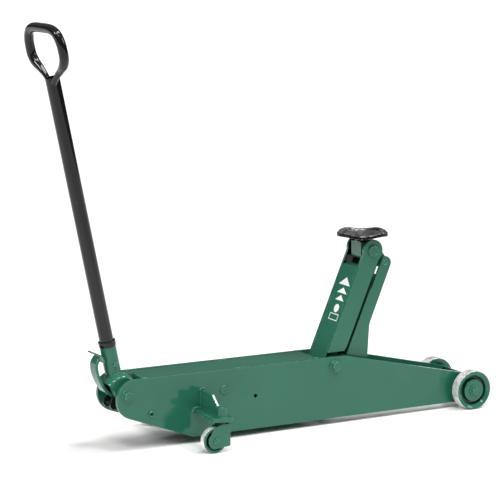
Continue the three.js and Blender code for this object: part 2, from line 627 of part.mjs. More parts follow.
function buildHandle(root) {
  const pivot = group(root, ...REAR_PIVOT, 0);
  add(pivot, 'handle_yoke', yokeGeometry(), paint);
  const roller = polar(PUMP_ROLLER.angle, PUMP_ROLLER.reach);
  const rollerPin = CAM_OUT + 2;
  const rollerProfile = [[0, -rollerPin], [5, -rollerPin], [5, -18], [PUMP_ROLLER.r, -18], [PUMP_ROLLER.r, 18],
    [5, 18], [5, rollerPin], [0, rollerPin]];
  add(pivot, 'pump_roller', turned(rollerProfile, 20).translate(roller[0], 0, roller[1]), bareSteel);

  const pedalIn = CAM_IN - GAP;
  const armCurve = [[-20, -9], [-42, 8], [-58, 32], [-69, 58], [-73, 80], [-71, 95], [-61, 109]];
  add(pivot, 'pedal_arm', slab(ribbon(armCurve, 9, 16), -pedalIn, pedalIn), paint);
  const treadCurve = [[-83, 125], [-70, 119.5], [-58, 113], [-51.5, 104], [-48.5, 92]];
  add(pivot, 'pedal_tread', slab(ribbon(treadCurve, 5, 12), -20, 20), paint);

  const lean = new THREE.Group();
  lean.rotation.y = -rad(HANDLE_LEAN);
  pivot.add(lean);
  const bore = TUBE_R + GAP;
  const socket = [[0, YOKE_R + GAP], [SOCKET_R, YOKE_R + GAP], [SOCKET_R, SOCKET_END], [bore, SOCKET_END],
    [bore, TUBE_START - 1], [0, TUBE_START - 1]];
  add(lean, 'handle_socket', turnedZ(socket), paint);
  const tube = ring(TUBE_R - TUBE_WALL, TUBE_R, TUBE_START, TUBE_END);
  add(lean, 'handle_tube', turnedZ(tube), blackPaint);
  const collar = ring(bore, 25.7, SOCKET_END + GAP, COLLAR_END);
  add(lean, 'handle_collar', turnedZ(collar), blackPaint);
  const grip = new THREE.Mesh(gripGeometry(), new THREE.MeshStandardMaterial({ ...blackPaint }));
  grip.name = 'handle_grip';
  grip.rotation.z = rad(GRIP_TWIST);
  lean.add(grip);
}

// ---- assembly ---------------------------------------------------------------------------
const root = new THREE.Group();
root.position.x = BASE_SHIFT_X;
jack.add(root);
buildChassis(root);
buildPins(root);
buildHydraulics(root);
buildRam(root);
buildArm(root);
buildLink(root);
buildCarrier(root);
buildSaddle(root);
buildFrontWheels(root);
buildCastors(root);
buildHandle(root);

export default jack;
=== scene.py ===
"""A long-chassis hydraulic trolley jack: its looks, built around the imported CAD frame.

Lengths are millimetres from the floor under the front axle: X towards the saddle, Y to the left, Z up.
place() turns them into metres in the frame.
"""

import json
import math

import bmesh
import bpy
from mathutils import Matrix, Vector, noise
from mathutils.geometry import tessellate_polygon

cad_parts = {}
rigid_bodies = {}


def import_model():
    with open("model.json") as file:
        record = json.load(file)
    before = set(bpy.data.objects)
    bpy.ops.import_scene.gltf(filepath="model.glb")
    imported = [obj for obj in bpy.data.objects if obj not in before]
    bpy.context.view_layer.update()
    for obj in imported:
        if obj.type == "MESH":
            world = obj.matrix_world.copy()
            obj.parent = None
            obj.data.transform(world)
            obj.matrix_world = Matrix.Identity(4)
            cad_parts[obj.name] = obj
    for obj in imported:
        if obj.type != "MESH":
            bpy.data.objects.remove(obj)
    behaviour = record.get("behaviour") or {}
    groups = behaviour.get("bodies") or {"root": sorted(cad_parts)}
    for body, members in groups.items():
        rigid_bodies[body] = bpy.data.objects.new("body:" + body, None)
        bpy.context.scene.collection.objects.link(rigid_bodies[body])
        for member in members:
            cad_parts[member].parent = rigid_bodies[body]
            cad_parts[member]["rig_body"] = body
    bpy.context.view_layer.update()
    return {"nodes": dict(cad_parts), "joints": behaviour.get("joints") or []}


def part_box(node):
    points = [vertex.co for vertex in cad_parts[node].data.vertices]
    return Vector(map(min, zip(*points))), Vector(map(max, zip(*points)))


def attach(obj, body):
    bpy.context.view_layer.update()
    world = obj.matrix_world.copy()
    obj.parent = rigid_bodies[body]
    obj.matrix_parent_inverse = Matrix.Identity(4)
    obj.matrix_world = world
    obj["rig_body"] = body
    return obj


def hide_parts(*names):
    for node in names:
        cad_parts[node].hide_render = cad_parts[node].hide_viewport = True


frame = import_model()
MM = 0.001
SIDES = (("right", -1), ("left", 1))

# ---- places and sizes, from the frame -------------------------------------------------------


def centre(node):
    low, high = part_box(node)
    return (low + high) / 2


def size(node):
    low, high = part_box(node)
    return (high - low) / MM


AXLE_X = centre("front_axle").x


def place(point):
    x, y, z = point
    return Vector((AXLE_X + x * MM, y * MM, z * MM))


def pivot(joint):
    """A joint's own [x, z]."""
    at = next(j["pos_m"] for j in frame["joints"] if j["name"] == joint)
    return ((at[0] - AXLE_X) / MM, at[2] / MM)


def middle(node):
    at = centre(node)
    return Vector(((at.x - AXLE_X) / MM, at.y / MM, at.z / MM))


ARM_PIVOT = pivot("arm_lift")
SADDLE_PIN = pivot("carrier_level")
LINK_PIVOT = pivot("link_swing")
REAR_PIVOT = pivot("handle_swing")
ARM_LENGTH = math.dist(ARM_PIVOT, SADDLE_PIN)
ARM_ANGLE = math.atan2(SADDLE_PIN[1] - ARM_PIVOT[1], SADDLE_PIN[0] - ARM_PIVOT[0])
LINK_OFFSET = (LINK_PIVOT[0] - ARM_PIVOT[0], LINK_PIVOT[1] - ARM_PIVOT[1])
HANDLE_AXIS = Vector(next(j["axis"] for j in frame["joints"] if j["name"] == "handle_turn"))
HANDLE_SIDE = Vector((HANDLE_AXIS.z, 0, -HANDLE_AXIS.x))

X_AXIS = Vector((1, 0, 0))
Y_AXIS = Vector((0, 1, 0))
Z_AXIS = Vector((0, 0, 1))

# ---- materials ------------------------------------------------------------------------------


def new_look(name, **constants):
    look = bpy.data.materials.new(name)
    look.use_nodes = True
    shader = look.node_tree.nodes["Principled BSDF"]
    for socket, value in constants.items():
        shader.inputs[socket.replace("_", " ")].default_value = value
    return look, look.node_tree, shader


def add_node(tree, kind, values=None, links=None, **settings):
    made = tree.nodes.new("ShaderNode" + kind)
    for name, value in settings.items():
        setattr(made, name, value)
    for name, value in (values or {}).items():
        made.inputs[name].default_value = value
    for name, source in (links or {}).items():
        tree.links.new(source, made.inputs[name])
    return made


def grain(tree, scale, detail=4, stretch=(1, 1, 1), distortion=0.0):
    """Noise in the object's own metres, scaled to that many lumps a metre."""
    where = add_node(tree, "TexCoord").outputs["Object"]
    mapped = add_node(tree, "Mapping", {"Scale": stretch}, {"Vector": where})
    values = {"Scale": scale, "Detail": detail, "Distortion": distortion}
    return add_node(tree, "TexNoise", values, {"Vector": mapped.outputs[0]}).outputs["Fac"]


def ramp(tree, source, low, high, from_value=0.0, to_value=1.0):
    values = {"From Min": low, "From Max": high, "To Min": from_value, "To Max": to_value}
    return add_node(tree, "MapRange", values, {"Value": source}).outputs[0]


def times(tree, one, other):
    made = add_node(tree, "Math", links={0: one}, operation="MULTIPLY")
    if isinstance(other, (int, float)):
        made.inputs[1].default_value = other
    else:
        tree.links.new(other, made.inputs[1])
    return made.outputs[0]


def mixed(tree, share, one, other):
    """A colour between two colours or colour sockets."""
    made = add_node(tree, "Mix", data_type="RGBA")
    tree.links.new(share, made.inputs["Factor"])
    for socket, value in ((made.inputs[6], one), (made.inputs[7], other)):
        if isinstance(value, tuple):
            socket.default_value = (*value, 1)
        else:
            tree.links.new(value, socket)
    return made.outputs[2]


def edges(tree, radius):
    """About 1 along outer edges and 0 on flat faces."""
    rounded = add_node(tree, "Bevel", {"Radius": radius}, samples=4)
    flat = add_node(tree, "NewGeometry").outputs["Normal"]
    together = add_node(tree, "VectorMath", {}, operation="DOT_PRODUCT")
    tree.links.new(rounded.outputs[0], together.inputs[0])
    tree.links.new(flat, together.inputs[1])
    return ramp(tree, together.outputs["Value"], 0.99, 0.90)


def bumps(tree, shader, layers):
    """Bump from (source, height in metres) layers, one over the other."""
    last = None
    for source, height in layers:
        bump = add_node(tree, "Bump", {"Distance": height, "Strength": 1.0}, {"Height": source})
        if last:
            tree.links.new(last, bump.inputs["Normal"])
        last = bump.outputs[0]
    tree.links.new(last, shader.inputs["Normal"])


def enamel(name, colour, shade, chip_and_sheen, rough, peel, **constants):
    """Brushed-on or sprayed enamel over steel: uneven tone, orange peel, edges lighter from wear and as a
    painted highlight.
    """
    look, tree, shader = new_look(name, **constants)
    clouds = ramp(tree, grain(tree, 6, 5), 0.35, 0.65)
    tone = mixed(tree, clouds, colour, shade)
    # Painted highlight mixed with wear: in noisy patches along outer edges the colour turns lighter.
    rubbed_and_lit = times(tree, edges(tree, 1.6 * MM), ramp(tree, grain(tree, 160, 6), 0.42, 0.56))
    tree.links.new(mixed(tree, rubbed_and_lit, tone, chip_and_sheen), shader.inputs["Base Color"])
    streaks = grain(tree, 22, 5, (0.2, 1, 1), 0.3)
    tree.links.new(ramp(tree, streaks, 0.3, 0.7, *rough), shader.inputs["Roughness"])
    bumps(tree, shader, [(grain(tree, 420, 3), peel), (grain(tree, 90, 2), 2 * peel)])
    return look


def metal(name, colour, stain, rough, scratch, stretch, **constants):
    look, tree, shader = new_look(name, **{"Metallic": 1.0, **constants})
    blotches = ramp(tree, grain(tree, 55, 8, (1, 1, 1), 0.6), 0.42, 0.68)
    tree.links.new(mixed(tree, blotches, colour, stain), shader.inputs["Base Color"])
    lines = grain(tree, 120, 5, stretch)
    tree.links.new(ramp(tree, lines, 0.3, 0.7, *rough), shader.inputs["Roughness"])
    bumps(tree, shader, [(lines, scratch), (grain(tree, 700, 3), scratch)])
    return look


def cast_look():
    """Cast iron: black scale underneath, mottled grey from rubbing on top, bright along the lip; the darker
    underside and lighter top are also painted shade and light from above, and the bright lip is partly a
    painted highlight.
    """
    look, tree, shader = new_look("cast_iron", Metallic=0.9)
    normal = add_node(tree, "NewGeometry").outputs["Normal"]
    upward = add_node(tree, "SeparateXYZ", links={0: normal}).outputs["Z"]
    # Painted light and shade: faces turned up get the grey, faces turned down the black scale, as if lit from
    # above.
    top = ramp(tree, upward, 0.25, 0.8)
    mottled = ramp(tree, grain(tree, 55, 8, (1, 1, 1), 0.9), 0.40, 0.62)
    rubbed_and_lit = mixed(tree, mottled, (0.045, 0.044, 0.048), (0.34, 0.33, 0.335))
    scale = mixed(tree, mottled, (0.003, 0.003, 0.003), (0.020, 0.019, 0.020))
    lit_and_shaded_coat = mixed(tree, top, scale, rubbed_and_lit)
    # Painted highlight along the lip, together with wear.
    lip_wear_and_glint = times(tree, edges(tree, 2.0 * MM), ramp(tree, grain(tree, 60, 5), 0.36, 0.52))
    tree.links.new(mixed(tree, lip_wear_and_glint, lit_and_shaded_coat, (0.85, 0.84, 0.83)), shader.inputs["Base Color"])
    tree.links.new(ramp(tree, grain(tree, 90, 5), 0.3, 0.7, 0.25, 0.5), shader.inputs["Roughness"])
    bumps(tree, shader, [(grain(tree, 260, 6), 0.4 * MM), (grain(tree, 60, 4), 1.2 * MM)])
    return look


def vinyl_look():
    look, tree, shader = new_look("white_vinyl", Roughness=0.45)
    dirt = ramp(tree, grain(tree, 90, 6), 0.45, 0.75)
    tree.links.new(mixed(tree, dirt, (0.93, 0.94, 0.93), (0.82, 0.84, 0.83)), shader.inputs["Base Color"])
    bumps(tree, shader, [(grain(tree, 500, 3), 0.02 * MM)])
    return look


GREEN = enamel("green_enamel", (0.022, 0.143, 0.089), (0.018, 0.129, 0.079), (0.20, 0.40, 0.32),
               (0.20, 0.26), 0.012 * MM, Specular_IOR_Level=0.06, Coat_Weight=0.7, Coat_Roughness=0.07)
# Painted shade: a darker green for the front wheels' groove and inner recess.
GROOVE_SHADE = enamel("groove_shade_enamel", (0.008, 0.052, 0.033), (0.005, 0.036, 0.023), (0.10, 0.24, 0.18),
              (0.20, 0.30), 0.012 * MM, Specular_IOR_Level=0.25, Coat_Weight=0.3, Coat_Roughness=0.06)
# Painted shade: a near-black green standing in for the shadow between parts, on the pump body, the yoke's
# cams, the castor crowns and the castor wheels' recessed faces.
SHADOW_DARK = enamel("shadow_dark_enamel", (0.004, 0.014, 0.010), (0.003, 0.008, 0.006), (0.05, 0.10, 0.08),
              (0.20, 0.30), 0.012 * MM, Specular_IOR_Level=0.30, Coat_Weight=0.4, Coat_Roughness=0.08)
BLACK = enamel("black_enamel", (0.003, 0.003, 0.003), (0.005, 0.005, 0.005), (0.03, 0.03, 0.03),
               (0.12, 0.18), 0.004 * MM, Specular_IOR_Level=0.15, Coat_Weight=0.6, Coat_Roughness=0.05)
STEEL = metal("bare_steel", (0.66, 0.66, 0.67), (0.42, 0.40, 0.38), (0.20, 0.38), 0.02 * MM, (1, 6, 1))
TREAD = metal("rolled_tread", (0.95, 0.94, 0.94), (0.50, 0.47, 0.46), (0.24, 0.42), 0.05 * MM, (1, 5, 1),
              Metallic=0.45)
IRON = cast_look()
VINYL = vinyl_look()

# ---- mesh helpers ---------------------------------------------------------------------------


def make(name, points, faces, *looks, sharp=32):
    """A piece from points in millimetres. Every face starts with look 0."""
    mesh = bpy.data.meshes.new(name)
    mesh.from_pydata([place(p) for p in points], [], faces)
    shape = bmesh.new()
    shape.from_mesh(mesh)
    bmesh.ops.remove_doubles(shape, verts=shape.verts, dist=1e-7)
    bmesh.ops.recalc_face_normals(shape, faces=shape.faces)
    shape.to_mesh(mesh)
    shape.free()
    for look in looks:
        mesh.materials.append(look)
    mesh.shade_smooth()
    mesh.set_sharp_from_angle(angle=math.radians(sharp))
    piece = bpy.data.objects.new(name, mesh)
    bpy.context.scene.collection.objects.link(piece)
    return piece


def stand_in(piece, *nodes):
    """The piece takes the place of these CAD nodes, on the body of the first."""
    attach(piece, frame["nodes"][nodes[0]]["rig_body"])
    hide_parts(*nodes)
    return piece


def joined_to(piece, node):
    """The piece is a detail that moves with the node's body."""
    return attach(piece, frame["nodes"][node]["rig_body"])


def bevel(piece, width, segments=3, angle=40):
    step = piece.modifiers.new("edge", "BEVEL")
    step.width = width * MM
    step.segments = segments
    step.limit_method = "ANGLE"
    step.angle_limit = math.radians(angle)
    step.harden_normals = True
    return piece


def arc(x, z, radius, start, end, steps=24):
    """Points on an arc, angles in degrees."""
    turns = [math.radians(start + (end - start) * i / steps) for i in range(steps + 1)]
    return [(x + radius * math.cos(a), z + radius * math.sin(a)) for a in turns]


def circle(x, z, radius, sides=40):
    return arc(x, z, radius, 0, 360 - 360 / sides, sides - 1)


def soften(points, closed=False, steps=4):
    """Rounds each corner that gives a third number, its radius."""
    soft = []
    for i, (x, z, *radius) in enumerate(points):
        here = Vector((x, z))
        if not radius or (not closed and i in (0, len(points) - 1)):
            soft.append(here)
            continue
        before = Vector(points[i - 1][:2]) - here
        after = Vector(points[(i + 1) % len(points)][:2]) - here
        reach = radius[0] / math.tan(before.angle(after) / 2)
        start = here + before.normalized() * min(reach, 0.48 * before.length)
        end = here + after.normalized() * min(reach, 0.48 * after.length)
        for k in range(steps + 1):
            t = k / steps
            soft.append((1 - t) ** 2 * start + 2 * t * (1 - t) * here + t ** 2 * end)
    return [tuple(p) for p in soft]


def turned_about(point, origin, angle):
    """A local [x, z] about an origin, turned up by an angle."""
    x, z = point
    return (origin[0] + x * math.cos(angle) - z * math.sin(angle),
            origin[1] + x * math.sin(angle) + z * math.cos(angle))


def plate(name, look, outline, near, far, holes=(), origin=(0, 0), tilt=0.0, edge=1.0, segments=3):
    """An XZ outline made solid between two Y faces, its edges rounded."""
    loops = [[turned_about(p, origin, tilt) for p in loop] for loop in (outline, *holes)]
    flat = [point for loop in loops for point in loop]
    caps = tessellate_polygon([[Vector((x, z, 0)) for x, z in loop] for loop in loops])
    count = len(flat)
    faces = [tuple(tri) for tri in caps] + [tuple(i + count for i in tri) for tri in caps]
    start = 0
    for loop in loops:
        for i in range(len(loop)):
            a, b = start + i, start + (i + 1) % len(loop)
            faces.append((a, b, b + count, a + count))
        start += len(loop)
    points = [(x, near, z) for x, z in flat] + [(x, far, z) for x, z in flat]
    piece = make(name, points, faces, look)
    merge_flat(piece)
    return bevel(piece, edge, segments) if edge else piece


def merge_flat(piece):
    """Joins the triangles of each flat face into as few faces as its holes allow."""
    shape = bmesh.new()
    shape.from_mesh(piece.data)
    bmesh.ops.dissolve_limit(shape, angle_limit=math.radians(0.5), verts=[],
                             edges=[e for e in shape.edges if e.calc_face_angle(1) < 0.01])
    shape.to_mesh(piece.data)
    shape.free()


def around(axis):
    """Two directions square to an axis."""
    helper = X_AXIS if abs(axis.x) < 0.9 else Z_AXIS
    first = (helper - axis * helper.dot(axis)).normalized()
    return first, axis.cross(first)


def lathe(name, look, profile, origin, axis=Y_AXIS, sides=72, closed=False, sharp=32, looks=(), look_of=None):
    """A turned piece: profile rows are [radius, distance along the axis, corner radius]."""
    rows = soften(profile, closed)
    first, second = around(axis)
    points = []
    for radius, along in rows:
        for k in range(sides):
            turn = 2 * math.pi * k / sides
            out = first * (radius * math.cos(turn)) + second * (radius * math.sin(turn))
            points.append(Vector(origin) + axis * along + out)
    faces = []
    spans = range(len(rows)) if closed else range(len(rows) - 1)
    for i in spans:
        j = (i + 1) % len(rows)
        for k in range(sides):
            m = (k + 1) % sides
            faces.append((i * sides + k, i * sides + m, j * sides + m, j * sides + k))
    piece = make(name, points, faces, look, *looks, sharp=sharp)
    if look_of:
        paint_faces(piece, origin, axis, look_of)
    return piece


def paint_faces(piece, origin, axis, look_of):
    """Gives each face the look that look_of(radius, along) names."""
    for face in piece.data.polygons:
        at = Vector(((face.center.x - AXLE_X) / MM, face.center.y / MM, face.center.z / MM)) - Vector(origin)
        along = at.dot(axis)
        face.material_index = look_of((at - axis * along).length, along)


def sweep(name, look, path, radii, sides=28, squash=1.0, sharp=40):
    """A bar along a path of points, with a radius at each point."""
    path = [Vector(p) for p in path]
    end = len(path) - 1
    tangents = [(path[min(i + 1, end)] - path[max(i - 1, 0)]).normalized() for i in range(end + 1)]
    side = around(tangents[0])[0]
    points = []
    for at, along, radius in zip(path, tangents, radii):
        side = (side - along * side.dot(along)).normalized()
        up = along.cross(side)
        for k in range(sides):
            turn = 2 * math.pi * k / sides
            points.append(at + side * (radius * math.cos(turn)) + up * (radius * squash * math.sin(turn)))
    faces = []
    for i in range(len(path) - 1):
        for k in range(sides):
            m = (k + 1) % sides
            faces.append((i * sides + k, i * sides + m, (i + 1) * sides + m, (i + 1) * sides + k))
    last = (len(path) - 1) * sides
    faces += [tuple(range(sides)), tuple(range(last, last + sides))]
    return make(name, points, faces, look, sharp=sharp)


def smooth_path(points, steps):
    """A smooth curve through rows of numbers, so many steps to each span."""
    rows = [Vector(p) for p in points]
    fine = []
    for i in range(len(rows) - 1):
        a, b, c, d = rows[max(i - 1, 0)], rows[i], rows[i + 1], rows[min(i + 2, len(rows) - 1)]
        for k in range(steps):
            t = k / steps
            fine.append(0.5 * (2 * b + (c - a) * t + (2 * a - 5 * b + 4 * c - d) * t ** 2
                               + (3 * b - a - 3 * c + d) * t ** 3))
    fine.append(rows[-1])
    return fine


def weld(name, corners, radius, node, look=GREEN, ripple=3.2):
    """A bead of ripples along straight runs between corners."""
    path, radii = [], []
    travelled = 0.0
    for a, b in zip(corners, corners[1:]):
        a, b = Vector(a), Vector(b)
        steps = max(2, round((b - a).length / 0.8))
        for k in range(steps):
            at = a.lerp(b, k / steps)
            wave = abs(math.sin(math.pi * travelled / ripple))
            lump = 0.12 * noise.noise(at * 0.21)
            path.append(at)
            radii.append(radius * (0.84 + 0.20 * wave + lump))
            travelled += (b - a).length / steps
    path.append(Vector(corners[-1]))
    radii.append(radius * 0.6)
    radii[0] = radius * 0.5
    return joined_to(sweep(name, look, path, radii, sides=12, sharp=180), node)


def hex_head(name, look, origin, axis, across, height, bore=0.0):
    """A hexagonal head or nut with a turned chamfer, standing on its origin."""
    flat = across / 2
    sides = 72
    first, second = around(axis)
    rows = []
    for k in range(sides):
        turn = 2 * math.pi * k / sides
        reach = flat / math.cos((turn + math.pi / 6) % (math.pi / 3) - math.pi / 6)
        out = first * math.cos(turn) + second * math.sin(turn)
        drop = (reach - flat) * 0.9 + 0.08 * height
        top = flat * 0.94
        rows.append([out * reach, out * reach + axis * (height - drop), out * top + axis * height,
                     out * bore + axis * (height - 0.4 * bool(bore)), out * bore])
    rings = 5 if bore else 3
    points = [Vector(origin) + row[i] for i in range(rings) for row in rows]
    faces = [] if bore else [tuple(range(sides)), tuple(range(2 * sides, 3 * sides))]
    for i in range(rings if bore else 2):
        j = (i + 1) % rings
        for k in range(sides):
            m = (k + 1) % sides
            faces.append((i * sides + k, i * sides + m, j * sides + m, j * sides + k))
    piece = make(name, points, faces, look, sharp=20)
    return piece


# ---- chassis --------------------------------------------------------------------------------
PLATE_IN, PLATE_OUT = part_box("side_plate_left")[0].y / MM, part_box("side_plate_left")[1].y / MM
AXLE_Z = middle("front_axle").z
NOSE_R = (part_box("side_plate_left")[1].x - AXLE_X) / MM
NOSE_SLOPE = 13.18
PEAK = (-434, 206.6)
REAR_ARC = (-1145, 155, 59)
REAR_SLOPE = 20
BOTTOM_REAR = (-956, 21)
DRAIN_HOLE = (-744.4, 119.3, 6.5)
HOLE_GAP = 0.3


def ordered(side, low, high):
    return sorted((side * low, side * high))


def block_of(node, look, edge=0.8):
    """A rounded block that fills a node's box."""
    low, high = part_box(node)
    x0, x1 = (low.x - AXLE_X) / MM, (high.x - AXLE_X) / MM
    z0, z1 = low.z / MM, high.z / MM
    outline = [(x0, z0), (x1, z0), (x1, z1), (x0, z1)]
    return stand_in(plate("fine_" + node, look, outline, low.y / MM, high.y / MM, edge=edge), node)


def round_of(node, look, axis, radius, chamfer=0.8, bore=0.0):
    """A smooth rod or ring in place of a faceted one, along its node's box."""
    at = middle(node)
    half = abs(size(node).dot(axis)) / 2
    if bore:
        corners = ((bore, -half), (radius, -half), (radius, half), (bore, half))
        rows = [[r, along, chamfer] for r, along in corners]
    else:
        rows = [[0, -half], [radius, -half, chamfer], [radius, half, chamfer], [0, half]]
    return stand_in(lathe("fine_" + node, look, rows, at, axis, closed=bool(bore)), node)


def build_side_plates():
    outline = arc(0, AXLE_Z, NOSE_R, -90, 90 - NOSE_SLOPE)
    outline += [PEAK]
    outline += arc(*REAR_ARC, 90, 270 - REAR_SLOPE, 40)
    outline += [BOTTOM_REAR]
    anchor = middle("cylinder_anchor_pin")
    screw = middle("pump_screw_right")
    holes = [circle(0, AXLE_Z, size("front_axle").z / 2 + HOLE_GAP),
             circle(*ARM_PIVOT, 15 + HOLE_GAP), circle(*REAR_PIVOT, 10 + HOLE_GAP),
             circle(anchor.x, anchor.z, size("cylinder_anchor_pin").z / 2 + HOLE_GAP),
             circle(*DRAIN_HOLE), circle(screw.x, screw.z, 5 + HOLE_GAP)]
    for name, side in SIDES:
        near, far = ordered(side, PLATE_IN, PLATE_OUT)
        piece = plate(f"fine_side_plate_{name}", GREEN, outline, near, far, holes, edge=2.9, segments=5)
        stand_in(piece, f"side_plate_{name}")


COVER_WELDS = {"front": (-538, -524, 4.4), "middle": (-810, -770, 2.2), "rear": (-1119, -1100, 4.2)}


def build_covers():
    inside = PLATE_IN - HOLE_GAP
    cover = [(-1121, 206), (-521, 200.6), (-521, 206.6), (-1121, 212)]
    stand_in(plate("fine_top_cover", GREEN, cover, -inside, inside, edge=1.5), "top_cover")
    band = arc(0, AXLE_Z, 41.5, -52, 86, 32) + arc(0, AXLE_Z, 36, 86, -52, 32)
    stand_in(plate("fine_nose_plate", GREEN, band, -inside, inside, edge=1.2), "nose_plate")
    block_of("bottom_plate", GREEN, 1.2)
    for name, side in SIDES:
        y = side * (PLATE_IN - 0.8)
        for end, (x0, x1, radius) in COVER_WELDS.items():
            z0, z1 = (212 + (x + 1121) * -5.4 / 600 for x in (x0, x1))
            weld(f"cover_weld_{end}_{name}", [(x0, y, z0), (x1, y, z1)], radius, "top_cover")
    run = [(-1116, -56, 213), (-1117, -30, 214), (-1112, 6, 213)]
    weld("cover_weld_back", run, 5.0, "top_cover", ripple=6)


def build_cross_pins():
    round_of("front_axle", STEEL, Y_AXIS, size("front_axle").z / 2, 1.0)
    anchor = middle("cylinder_anchor_pin")
    end = size("cylinder_anchor_pin").y / 2
    proud = end + 1.2
    rows = [[0, -proud + 1.6], [3, -proud], [13.2, -proud, 0.6], [14.3, -proud + 1.2, 0.4], [14.3, -end + 3],
            [14.3, end - 3], [14.3, proud - 1.2, 0.4], [13.2, proud, 0.6], [3, proud], [0, proud - 1.6]]
    stand_in(lathe("fine_cylinder_anchor_pin", GREEN, rows, anchor), "cylinder_anchor_pin")

    pin = [[0, -81.2], [10.5, -81.2], [11.5, -82, 0.5], [13.6, -82, 1.2], [14.5, -81, 1], [14.5, -73.4],
           [15.6, -74.3, 0.5], [19.5, -71.4, 1.5], [19.5, -68.3], [15, -68.3], [15, 76, 0.8],
           [13.6, 77, 0.6], [0, 77]]
    at = (ARM_PIVOT[0], 0, ARM_PIVOT[1])
    stand_in(lathe("fine_arm_pivot_pin", GREEN, pin, at), "arm_pivot_pin")
    round_of("arm_pivot_collar", GREEN, Y_AXIS, 19.5, 1.0, 15.3)
    for name, _ in SIDES:
        round_of(f"link_stub_pin_{name}", STEEL, Y_AXIS, 11)
        round_of(f"yoke_spacer_{name}", STEEL, Y_AXIS, 16, 0.8, 10.3)


def build_rear_bolt():
    at = (REAR_PIVOT[0], 0, REAR_PIVOT[1])
    shank = [[0, -75], [9, -75], [9, -71.5], [18.2, -71.3, 0.6], [19, -70.6, 0.6], [19, -68.3, 0.5],
             [10, -68.3], [10, 82.5, 0.8], [8.6, 84, 0.4], [0, 84]]
    stand_in(lathe("fine_rear_pivot_bolt", GREEN, shank, at), "rear_pivot_bolt")
    face = Vector((at[0], -71.3, at[2]))
    joined_to(hex_head("rear_bolt_head", GREEN, face, -Y_AXIS, 24, 6.5), "rear_pivot_bolt")
    dome = [[0, 0], [10.4, 0], [9.6, 1.4, 2], [6, 2.5, 3], [0, 2.8]]
    joined_to(lathe("rear_bolt_dome", GREEN, dome, face - Y_AXIS * 6.4, -Y_AXIS), "rear_pivot_bolt")
    nut = hex_head("fine_rear_pivot_nut", GREEN, Vector((at[0], 68.3, at[2])), Y_AXIS, 29.4, 12, 10.3)
    stand_in(nut, "rear_pivot_nut")


# ---- hydraulics -----------------------------------------------------------------------------
def build_hydraulics():
    body = frame["nodes"]["pump_body"]
    # Painted shade: the pump body is near black for the shadow inside the chassis.
    body.data.materials.clear()
    body.data.materials.append(SHADOW_DARK)
    bevel(body, 2.0)
    along = middle("hydraulic_cylinder")
    x0, x1 = ((c.x - AXLE_X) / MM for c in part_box("hydraulic_cylinder"))
    rows = [[0, x0], [27, x0], [29, x0 + 2], [29, x1 - 14], [31.5, x1 - 13, 0.8], [31.5, x1, 0.8], [22, x1],
            [22, x0 + 17], [0, x0 + 17]]
    on_axis = (0, 0, along.z)
    stand_in(lathe("fine_hydraulic_cylinder", GREEN, rows, on_axis, X_AXIS), "hydraulic_cylinder")
    round_of("cylinder_gland", STEEL, X_AXIS, 34, 1.5, 17.3)
    x0, x1 = ((c.x - AXLE_X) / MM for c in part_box("ram_rod"))
    rows = [[0, x0], [21.7, x0, 1], [21.7, x0 + 24, 0.5], [17, x0 + 24], [17, x1, 1.5], [0, x1]]
    stand_in(lathe("fine_ram_rod", STEEL, rows, on_axis, X_AXIS), "ram_rod")
    block_of("ram_head", STEEL, 2.0)
    valve = middle("release_valve_stem")
    x0, x1 = ((c.x - AXLE_X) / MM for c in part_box("release_valve_stem"))
    rows = [[0, x0], [6, x0, 0.6], [7.5, x0 + 2, 0.5], [7.5, x0 + 9, 0.5], [6, x0 + 10], [6, x1, 0.8],
            [0, x1]]
    stand_in(lathe("fine_release_valve_stem", STEEL, rows, (0, valve.y, valve.z), X_AXIS),
             "release_valve_stem")
    plunger = middle("pump_plunger")
    x0, x1 = ((c.x - AXLE_X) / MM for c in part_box("pump_plunger"))
    rows = [[0, x0], [10, x0, 1.5], [12, x0 + 2, 0.8], [12, x0 + 6, 0.8], [9, x0 + 6], [9, x1, 0.8], [0, x1]]
    stand_in(lathe("fine_pump_plunger", STEEL, rows, (0, 0, plunger.z), X_AXIS), "pump_plunger")
    for name, side in SIDES:
        screw = middle(f"pump_screw_{name}")
        rows = [[0, 65.5], [5.2, 65.5], [5.8, 73.3, 0.4], [7.0, 73.3, 0.6], [8.5, 71.8, 1.0], [8.5, 68.3],
                [5, 68.3], [5, 46.4, 0.8], [0, 46.4]]
        piece = lathe(f"fine_pump_screw_{name}", GREEN, rows, (screw.x, 0, screw.z), Y_AXIS * side, 48)
        stand_in(piece, f"pump_screw_{name}")


# ---- lift arm, link, carrier ----------------------------------------------------------------
CHEEK_IN, CHEEK_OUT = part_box("arm_cheek_left")[0].y / MM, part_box("arm_cheek_left")[1].y / MM
ARM_HALF = 28.5
EYE_R = 34
STUB_REST = (54.5, -38.2, 13)
NOTCH = (100.7, 48.3)
CHEEK_FOOT = (29.1, 28.5)
FAR_FOOT = (14, 28.5)             # the left cheek's rear corner reaches lower
BACK_FACE = 28.2


def on_arm(along, across, out):
    """A point by its distance up the arm, across it and out from its middle plane."""
    x, z = turned_about((along, out), ARM_PIVOT, ARM_ANGLE)
    return (x, across, z)


def shade_inside(piece, side):
    """Painted shade: black on the face towards the jack's middle, standing in for the shadow inside the arm.
    """
    piece.data.materials.append(BLACK)
    for face in piece.data.polygons:
        if face.normal.y * side < -0.9:
            face.material_index = 1
    return piece


